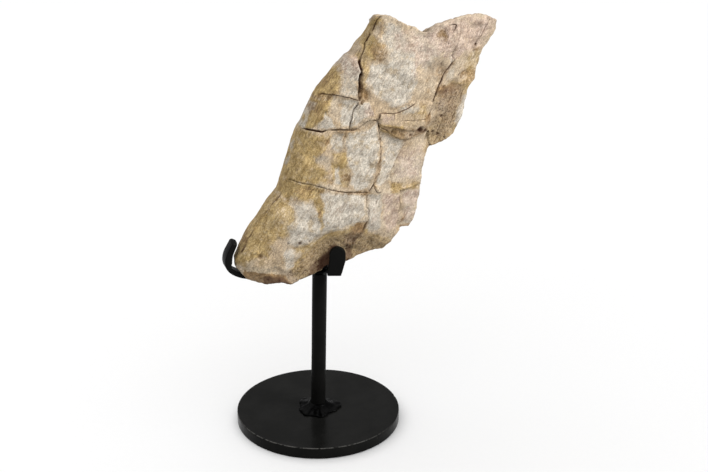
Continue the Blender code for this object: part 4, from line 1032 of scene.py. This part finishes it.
def make_claw(material):
    """Bar under the rib whose left end curls up as a claw."""
    across = Vector((0.0, 1.0, 0.0))
    half = CLAW_WIDTH / 2
    path = [Vector((x, 0.0, z)) for x, z in CLAW_PATH]
    path, widths = finer_path(path, [(-half, half, STRIP_THICK)] * len(path), CLAW_STEP)
    stations = []
    for centre, side, normal, low, high, thick in along_path(path, across, widths):
        swell = smooth_step(centre.z, *CLAW_THICKENS) * (1 - smooth_step(centre.z, *CLAW_THINS))
        swell = CLAW_SWELL * float(swell)
        stations.append((centre + normal * swell / 2, side, normal, low, high, thick + swell))
    stations = rounded_end(stations, False, half * CLAW_TIP_ROUND, CLAW_TIP_THIN)
    points, faces = strip_body(stations)
    add_piece("stand_claw", points, faces, material, ["claw_bar"], 50)


def make_prongs(material):
    """Cross strip with the front tab and the back prong bent up."""
    forward = Vector((math.sin(PRONG_TURN), -math.cos(PRONG_TURN), 0.0))
    across = Vector((math.cos(PRONG_TURN), math.sin(PRONG_TURN), 0.0))
    middle = Vector((PRONG_PLACE, 0.0, ROD_TOP + STRIP_THICK / 2))
    half = CLAW_WIDTH / 2
    front = PRONG_REACH - STRIP_THICK / 2
    side_view = []
    for part in range(TIP_STEPS, 0, -1):
        rise = TAB_STRAIGHT * part / TIP_STEPS
        side_view.append((front, rise, TAB_WIDENS * min(1.0, rise / TAB_WIDE_AT)))
    for part in range(BEND_STEPS + 1):
        angle = math.pi / 2 * part / BEND_STEPS
        reach = front - BEND_RADIUS * (1 - math.cos(angle))
        side_view.append((reach, BEND_RADIUS * (1 - math.sin(angle)), 0.0))
    side_view.append((2.0, 0.0, 0.0))
    for part in range(BEND_STEPS + 1):
        angle = math.pi / 2 * part / BEND_STEPS
        reach = BACK_REACH - BEND_RADIUS * (1 - math.sin(angle))
        side_view.append((-reach, BEND_RADIUS * (1 - math.cos(angle)), 0.0))
    side_view.append((-BACK_REACH, BACK_STRAIGHT, 0.0))
    path = []
    for reach, rise, _ in side_view:
        drop = TAB_DROP * max(0.0, reach) / front
        path.append(middle + forward * reach + Vector((0.0, 0.0, rise - drop)))
    widths = [(-half + wider / 2, half + wider, STRIP_THICK) for _, _, wider in side_view]
    stations = rounded_end(along_path(path, across, widths), True, TAB_ROUND)
    stations = rounded_end(stations, False, BACK_ROUND)
    points, faces = strip_body(stations)
    add_piece("stand_prongs", points, faces, material, ["prong_strip"], 50)


def distance_to_line(spots, line):
    """Least distance from each spot to an open line of points."""
    least = np.full(len(spots), 1e9)
    for start, end in zip(line[:-1], line[1:]):
        start = np.asarray(start, float)
        run = np.asarray(end, float) - start
        along = np.clip((spots - start) @ run / (run @ run), 0.0, 1.0)
        gap = spots - start - along[:, None] * run
        least = np.minimum(least, np.hypot(gap[:, 0], gap[:, 1]))
    return least


def inside(spots, ring):
    """Which spots lie inside a closed outline."""
    found = np.zeros(len(spots), bool)
    ring = np.asarray(ring, float)
    for (x1, z1), (x2, z2) in zip(ring, np.roll(ring, -1, axis=0)):
        crosses = (z1 > spots[:, 1]) != (z2 > spots[:, 1])
        if z1 == z2:
            continue
        at = x1 + (spots[:, 1] - z1) * (x2 - x1) / (z2 - z1)
        found ^= crosses & (spots[:, 0] < at)
    return found


def area_share(spots, softness, ring):
    """1 inside an outline, 0 outside it, with a soft border between."""
    gap = distance_to_line(spots, (*ring, ring[0]))
    return smooth_step(np.where(inside(spots, ring), gap, -gap), -softness, softness)


def depth_field(soundings):
    """Smooth depth through all the soundings, by radial functions."""
    table = np.array(soundings, float)
    places = table[:, :2]
    apart = np.linalg.norm(places[:, None] - places[None], axis=2)
    count = len(table)
    system = np.zeros((count + 3, count + 3))
    system[:count, :count] = -apart
    system[:count, count] = 1.0
    system[:count, count + 1:] = places
    system[count:, :count] = system[:count, count:].T
    weights = np.linalg.solve(system, np.append(table[:, 2], np.zeros(3)))

    def depth(spots):
        away = np.linalg.norm(spots[:, None] - places[None], axis=2)
        return -away @ weights[:count] + weights[count] + spots @ weights[count + 1:]

    return depth


def lumps(spots, seed):
    """Gentle uneven swelling of weathered bone."""
    source = random.Random(seed)
    total = np.zeros(len(spots))
    for height, wavelength, waves in SWELLINGS:
        for _ in range(waves):
            heading = source.uniform(0, math.tau)
            phase = source.uniform(0, math.tau)
            wave = spots[:, 0] * math.cos(heading) + spots[:, 1] * math.sin(heading)
            total += height * SWELLING_SHARE * np.sin(math.tau * wave / wavelength + phase)
    return total


def face_depth(spots, field, plates, pits, natural_edge, seed):
    """Depth of one broad face at each spot, without its cracks."""
    depth = field(spots) + lumps(spots, seed)
    for level, ring in plates:
        depth += level * area_share(spots, PLATE_SOFTNESS, ring)
    for x, z, radius, dip, _ in pits:
        near = np.hypot(spots[:, 0] - x, spots[:, 1] - z) / radius
        depth -= dip * np.clip(1 - near * near, 0, 1)
    rounding = np.clip(distance_to_line(spots, natural_edge) / EDGE_ROUNDING, 0.0, 1.0)
    return depth * np.sqrt(1 - EDGE_DROP * (1 - rounding) ** 2)


def fine_outline():
    """Close outline stations, eased at the corners and ragged where broken."""
    keys = []
    for kind, corners in OUTLINE.items():
        rings = np.array(EDGE_RINGS[kind]).ravel()
        keys += [np.concatenate((corner, (BROKEN_SHARE[kind],), rings)) for corner in corners]
    keys = np.array(keys)
    stations = []
    for here, after in zip(keys, np.roll(keys, -1, axis=0)):
        steps = max(1, round(np.hypot(*(after[:2] - here[:2])) / EDGE_STEP))
        stations += [here + (after - here) * step / steps for step in range(steps)]
    stations = np.array(stations)
    eased = np.zeros_like(stations)
    for shift, share in ((-2, 1), (-1, 2), (0, 3), (1, 2), (2, 1)):
        eased += np.roll(stations, shift, axis=0) * share / 9
    spots = eased[:, :2]
    inward = inward_of(spots)
    flat = at_depth(spots, 0.0)
    rag = sum(depth * lump_noise(flat, size, seed) for depth, size, seed in RAGS)
    spots += inward * (rag * (0.2 + 0.9 * eased[:, 4]))[:, None]
    return eased


def at_depth(spots, y):
    """Points over the given spots at one depth, or each at its own."""
    return np.column_stack((spots[:, 0], np.full(len(spots), y), spots[:, 1]))


def aside_of(line):
    """Direction square to an open line at each of its points."""
    along = np.gradient(line, axis=0)
    along /= np.linalg.norm(along, axis=1)[:, None]
    return np.stack((along[:, 1], -along[:, 0]), axis=1)


def inward_of(spots):
    """Direction into the outline at each of its stations."""
    ahead = np.roll(spots, -1, axis=0) - np.roll(spots, 1, axis=0)
    inward = np.stack((ahead[:, 1], -ahead[:, 0]), axis=1)
    return inward / np.linalg.norm(inward, axis=1)[:, None]


def between_rings(table, count):
    """Smooth curve through the few edge rings, read at many depths."""
    known = table.shape[1]
    padded = np.concatenate((table[:, :1], table, table[:, -1:]), axis=1)
    rings = []
    for number in range(count):
        at = number / (count - 1) * (known - 1)
        first = min(int(at), known - 2)
        four = (padded[:, first + step] for step in range(4))
        rings.append(curve_between(*four, at - first))
    return rings


def edge_rings(stations, front, back):
    """Closed rings of points from the front rim round to the back rim."""
    spots = stations[:, :2]
    inward = inward_of(spots)
    profile = between_rings(stations[:, 5:].reshape(len(stations), -1, 3), EDGE_RING_COUNT)
    places = [spots + stations[:, 2:4] * ring[:, 1:2] + inward * ring[:, 2:] for ring in profile]
    front_y = -front(places[0])
    back_y = back(places[-1])
    rings = []
    for place, ring in zip(places, profile):
        y = front_y + (back_y - front_y) * ring[:, 0]
        rings.append(at_depth(place, y))
    return rings


def crack_lines(cracks, seed, drift):
    """Each crack as a finely stepped line that wanders a little."""
    lines = []
    for number, (_, _, _, points) in enumerate(cracks):
        spots = []
        for start, end in zip(points[:-1], points[1:]):
            start = np.array(start, float)
            end = np.array(end, float)
            parts = max(1, round(np.hypot(*(end - start)) / CRACK_STEP))
            spots += [start + (end - start) * part / parts for part in range(parts)]
        spots.append(np.array(points[-1], float))
        spots = np.array(spots)
        flat = at_depth(spots, number * 3.7 + seed)
        wander = CRACK_WOBBLE * (lump_noise(flat, 3.6, 2) + 0.4 * lump_noise(flat, 1.7, 5))
        wander += drift * lump_noise(flat, 11.0, 9)
        ends = np.minimum(np.arange(len(spots)), np.arange(len(spots))[::-1])
        wander *= np.clip(ends / 3, 0, 1)
        lines.append(spots + aside_of(spots) * wander[:, None])
    return lines


def crack_shape(spots, cracks, lines):
    """Depth of the cracks at each spot, and their darkness: painted shade inside them."""
    depth = np.zeros(len(spots))
    dark = np.zeros(len(spots))
    for (width, dip, shade, _), line in zip(cracks, lines):
        reach = width * 0.8
        close = ((spots > line.min(axis=0) - reach) & (spots < line.max(axis=0) + reach)).all(axis=1)
        close = np.nonzero(close)[0]
        least = np.full(len(close), 1e9)
        along = np.zeros(len(close))
        for number, (start, end) in enumerate(zip(line[:-1], line[1:])):
            run = end - start
            t = np.clip((spots[close] - start) @ run / (run @ run), 0, 1)
            gap = np.linalg.norm(spots[close] - start - t[:, None] * run, axis=1)
            better = gap < least
            least[better] = gap[better]
            along[better] = number + t[better]
        place = np.full((len(along), 3), (0.0, width * 9, line[0, 0]))
        place[:, 0] = along * CRACK_STEP / 4.5
        wide = 0.9 + 0.5 / max(1.0, width) * lump_noise(place, 1.0, 6)
        ends = np.minimum(along, len(line) - 1 - along) * CRACK_STEP
        wide *= np.clip(0.45 + ends / 4, 0, 1)
        near = np.clip(1 - least / (width / 2 * np.clip(wide, 0.3, 1.0)), 0, 1)
        depth[close] = np.maximum(depth[close], dip * np.clip(near * 2.2, 0, 1) * np.clip(wide, 0.4, 1.2))
        dark[close] = np.maximum(dark[close], shade * smooth_step(near, 0.0, 0.4) * np.clip(wide, 0.5, 1.0))
    return depth, dark


def sheet(rim, spacing, cracks, lines, seed):
    """Triangulate one broad face inside its rim, following the cracks."""
    source = random.Random(seed)
    rim_spots = rim[:, (0, 2)]
    closed_rim = np.vstack((rim_spots, rim_spots[:1]))
    fixed = [tuple(p) for p in rim_spots]
    edges = [(i, (i + 1) % len(rim)) for i in range(len(rim))]
    for (width, _, _, _), line in zip(cracks, lines):
        aside = aside_of(line) * width
        shifts = (0.0, 0.5, -0.5) if width < WIDE_CRACK else (0.0, 0.28, -0.28, 0.5, -0.5)
        for chain in (line + aside * shift for shift in shifts):
            usable = inside(chain, rim_spots) & (distance_to_line(chain, closed_rim) > RIM_CLEAR)
            previous = None
            for spot, clear in zip(chain, usable):
                if not clear:
                    previous = None
                    continue
                fixed.append(tuple(spot))
                if previous is not None:
                    edges.append((previous, len(fixed) - 1))
                previous = len(fixed) - 1
    taken = kdtree.KDTree(len(fixed))
    for index, (x, z) in enumerate(fixed):
        taken.insert((x, z, 0.0), index)
    taken.balance()
    low = rim_spots.min(axis=0)
    high = rim_spots.max(axis=0)
    loose = []
    jitter = spacing * 0.2
    for row in range(int((high[1] - low[1]) / (spacing * ROW_SHARE)) + 1):
        for column in range(int((high[0] - low[0]) / spacing) + 1):
            x = low[0] + (column + 0.5 * (row % 2)) * spacing + source.uniform(-jitter, jitter)
            z = low[1] + row * spacing * ROW_SHARE + source.uniform(-jitter, jitter)
            loose.append((x, z))
    loose = np.array(loose)
    for x, z in loose[inside(loose, rim_spots)]:
        if taken.find((x, z, 0.0))[2] > spacing * 0.5:
            fixed.append((x, z))
    result = delaunay_2d_cdt([Vector(p) for p in fixed], edges, [list(range(len(rim)))], 1, 1e-5)
    return np.array([tuple(v) for v in result[0]]), result[2], result[3]


def rib_surface():
    """Points, faces and each point's place on the rib, before any texture."""
    natural_edge = [corner[:2] for corner in OUTLINE["natural"]]
    front_field = depth_field(FRONT_DEPTHS)
    back_field = depth_field(BACK_DEPTHS)

    def front(spots):
        return face_depth(spots, front_field, FRONT_PLATES, FRONT_PITS, natural_edge, 3)

    def back(spots):
        return face_depth(spots, back_field, BACK_PLATES, (), natural_edge, 11)

    stations = fine_outline()
    rings = edge_rings(stations, front, back)
    count = len(stations)
    points = np.vstack(rings)
    depth_share = np.repeat(np.linspace(0, 1, EDGE_RING_COUNT), count)
    broken = np.tile(stations[:, 4], EDGE_RING_COUNT)
    faces = []
    for ring in range(EDGE_RING_COUNT - 1):
        faces += bridge(ring * count, (ring + 1) * count, count)
    front_lines = crack_lines(FRONT_CRACKS, 0.0, 0.0)
    back_lines = crack_lines(BACK_CRACKS, 40.0, BACK_CRACK_DRIFT)
    back_rim = (EDGE_RING_COUNT - 1) * count
    sides = (
        (rings[0], 0, FRONT_SPACING, FRONT_CRACKS, front_lines, front, -1.0, 0.0, 21),
        (rings[-1], back_rim, BACK_SPACING, BACK_CRACKS, back_lines, back, 1.0, 1.0, 22),
    )
    for rim, first, spacing, cracks, lines, face, facing, share, seed in sides:
        spots, triangles, origins = sheet(rim, spacing, cracks, lines, seed)
        depths = face(spots)
        numbers = np.zeros(len(spots), int)
        fresh = []
        for index, sources in enumerate(origins):
            if sources and min(sources) < count:
                numbers[index] = first + min(sources)
            else:
                numbers[index] = len(points) + len(fresh)
                fresh.append((spots[index, 0], facing * depths[index], spots[index, 1]))
        points = np.vstack((points, np.array(fresh)))
        depth_share = np.append(depth_share, np.full(len(fresh), share))
        broken = np.append(broken, np.zeros(len(fresh)))
        faces += [tuple(int(numbers[i]) for i in triangle) for triangle in triangles]
    return points, faces, depth_share, broken, front_lines, back_lines


def rib_cracks(spots, depth_share, front_lines, back_lines):
    """Depth of the cracks at each point of the rib, and the darkness of the cracks and pits: painted shade
    inside them.
    """
    front_depth, front_dark = crack_shape(spots, FRONT_CRACKS, front_lines)
    back_depth, back_dark = crack_shape(spots, BACK_CRACKS, back_lines)
    on_back = smooth_step(depth_share, 0.75, 1.0)
    near_front = 1 - smooth_step(depth_share, 0.0, 0.3)
    crack = front_depth * near_front + back_depth * on_back
    dark = front_dark * near_front + back_dark * on_back
    # Pits darken towards their middle: painted shade inside them
    for x, z, radius, _, shade in FRONT_PITS:
        near = np.hypot(spots[:, 0] - x, spots[:, 1] - z) / radius
        dark = np.maximum(dark, shade * np.clip(1.15 - near, 0, 1) * near_front)
    return crack, dark


def rib_tints(points, depth_share, broken, dark):
    """How strongly each point of the rib shows each tint and texture."""
    spots = points[:, (0, 2)]
    turn = 0.1 + 0.75 * (1 - broken)
    on_front = 1 - smooth_step(depth_share, turn, turn + 0.15)
    shift = np.column_stack((lump_noise(points, 6.0, 11), lump_noise(points, 6.0, 12)))
    shift += 0.4 * np.column_stack((lump_noise(points, 2.2, 13), lump_noise(points, 2.2, 14)))
    ragged = spots + BORDER_WANDER * shift
    values = {}
    for name, areas in AREAS.items():
        value = np.zeros(len(points))
        for strength, softness, ring in areas:
            value = np.maximum(value, strength * area_share(ragged, softness, ring))
        values[name] = value * on_front
    for name, strength, size, seed, rise_from, rise_to in BACK_STAINS:
        stain = smooth_step(layered_noise(points, size, 2, seed), rise_from, rise_to)
        values[name] += (1 - on_front) * strength * stain
    wall = broken * smooth_step(depth_share, 0.03, 0.12) * (1 - smooth_step(depth_share, 0.9, 0.98))
    core = smooth_step(depth_share, 0.12, 0.24) * (1 - smooth_step(depth_share, 0.8, 0.92))
    values["rough"] = np.clip(np.maximum(values["rough"], wall * (0.35 + 0.65 * core)), 0, 1)
    values["dark"] = np.clip(np.maximum(values["dark"], dark), 0, 1)
    return values


def rib_relief(points, rough):
    """Fine relief of the bone, and the holes of its spongy parts."""
    relief = FIBRE_RELIEF * lump_noise(along_grain(points, 5.0), FIBRE_SIZE, 51)
    relief += GRAIN_RELIEF * layered_noise(points, GRAIN_SIZE, 2, 53)
    relief += DENT_RELIEF * lump_noise(points, DENT_SIZE, 57)
    flakes = lump_noise(along_grain(points, 2.0), FLAKE_SIZE, 59)
    relief -= FLAKE_DEPTH * smooth_step(flakes, 0.05, 0.16) * (1 - rough)
    holes = smooth_step(cell_gap(along_grain(points, 1.8), HOLE_SIZE, 61), 0.42, 0.15)
    sponge = SPONGE_RELIEF * layered_noise(along_grain(points, 1.7), SPONGE_SIZE, 3, 63)
    relief += rough * (sponge - HOLE_DEPTH * holes - 0.1)
    # Low relief where the strips hold the bone, so that it stays clear of them
    away = (points[:, (0, 2)] - np.array(HOLD_PLACE)) / np.array(HOLD_REACH)
    held = np.exp(-(away**2).sum(axis=1))
    return np.minimum(relief, MOST_RELIEF - HOLD_RELIEF * held), holes


def make_rib(material):
    """Rib section: show face, hidden face and the broken edges between."""
    points, faces, depth_share, broken, front_lines, back_lines = rib_surface()
    obj = add_piece("fossil_rib", points, faces, material, ["rib"])
    mesh = obj.data
    normals = np.zeros(len(points) * 3)
    mesh.vertices.foreach_get("normal", normals)
    normals = normals.reshape(-1, 3)
    crack, dark = rib_cracks(points[:, (0, 2)], depth_share, front_lines, back_lines)
    values = rib_tints(points, depth_share, broken, dark)
    relief, holes = rib_relief(points, values["rough"])
    # Holes of the spongy parts darkened: painted shade inside them
    values["dark"] = np.clip(values["dark"] + 0.4 * values["rough"] * holes, 0, 1)
    moved = points + normals * (relief - crack)[:, None]
    low = np.array(cad_box[0]) / MM
    high = np.array(cad_box[1]) / MM
    moved = np.clip(moved, low + BOX_MARGIN, high - BOX_MARGIN)
    mesh.vertices.foreach_set("co", (moved * MM).ravel())
    mesh.update()
    for name, value in values.items():
        attribute = mesh.attributes.new(name, "FLOAT", "POINT")
        attribute.data.foreach_set("value", value.astype(np.float32))


def make_floor():
    """Plain white paper that the stand is photographed on."""
    mesh = bpy.data.meshes.new("floor")
    corners = [(x * FLOOR_HALF, y * FLOOR_HALF, 0.0) for x, y in ((-1, -1), (1, -1), (1, 1), (-1, 1))]
    mesh.from_pydata(corners, [], [(0, 1, 2, 3)])
    nodes = NodeTree("white paper")
    tooth = nodes.noise(nodes.place(), 3.0, 2.0)
    colour = nodes.mix(tooth, (0.9, 0.9, 0.9, 1.0), (0.92, 0.92, 0.92, 1.0))
    nodes.feed(nodes.shader.inputs["Base Color"], colour)
    nodes.shader.inputs["Roughness"].default_value = 0.9
    nodes.shader.inputs["Specular IOR Level"].default_value = 0.05
    mesh.materials.append(nodes.material)
    floor = bpy.data.objects.new("floor", mesh)
    floor.location.z = -FLOOR_DROP
    bpy.context.scene.collection.objects.link(floor)
    floor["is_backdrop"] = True


def soft_light(name, place, target, size, power, lit):
    """Large square lamp aimed at a point, which lights only the given pieces."""
    data = bpy.data.lights.new(name, "AREA")
    data.shape = "SQUARE"
    data.size = size
    data.energy = power
    lamp = bpy.data.objects.new(name, data)
    lamp.location = place
    lamp.rotation_euler = (Vector(target) - Vector(place)).to_track_quat("-Z", "Y").to_euler()
    bpy.context.scene.collection.objects.link(lamp)
    lamp.light_linking.receiver_collection = lit


def make_studio():
    """White surround, soft lamps, and the camera at the photograph's angle."""
    scene = bpy.context.scene
    world = bpy.data.worlds.new("white surround")
    world.use_nodes = True
    background = world.node_tree.nodes["Background"]
    background.inputs["Color"].default_value = (1.0, 1.0, 1.0, 1.0)
    background.inputs["Strength"].default_value = SURROUND
    scene.world = world
    overhead_data = bpy.data.lights.new("overhead", "SUN")
    overhead_data.energy = OVERHEAD_POWER
    overhead_data.angle = OVERHEAD_SPREAD
    overhead = bpy.data.objects.new("overhead", overhead_data)
    overhead.rotation_euler = OVERHEAD_TURN
    scene.collection.objects.link(overhead)
    lit = bpy.data.collections.new("lit pieces")
    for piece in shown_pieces():
        lit.objects.link(piece)
    soft_light("key", KEY_PLACE, KEY_TARGET, KEY_SIZE, KEY_POWER, lit)
    camera_data = bpy.data.cameras.new("camera")
    camera_data.sensor_width = CAMERA_SENSOR
    camera_data.lens = CAMERA_LENS
    camera = bpy.data.objects.new("camera", camera_data)
    camera.location = CAMERA_PLACE
    camera.rotation_euler = CAMERA_TURN
    scene.collection.objects.link(camera)
    scene.camera = camera
    scene.view_settings.view_transform = "Standard"
    scene.view_settings.look = "None"
    scene.view_settings.exposure = 0.0
    scene.view_settings.gamma = 1.0


def make_stand():
    """The welded steel stand, piece by piece."""
    paint = paint_material("satin black paint", 0.03, 0.36, 0.46)
    gloss = weld_material()
    make_disc(paint_material("smooth black paint", 0.045, 0.16, 0.24))
    make_rod(paint)
    foot = DISC_THICK + GAP
    top = ROD_TOP - GAP
    make_weld("stand_foot_weld", FOOT_PROFILE, foot, FOOT_RIPPLE, "foot_weld", gloss)
    make_weld("stand_top_weld", TOP_PROFILE, top, TOP_RIPPLE, "top_weld", gloss)
    make_claw(paint)
    make_prongs(paint)


clear_start()
make_stand()
make_rib(bone_material())
make_floor()
make_studio()
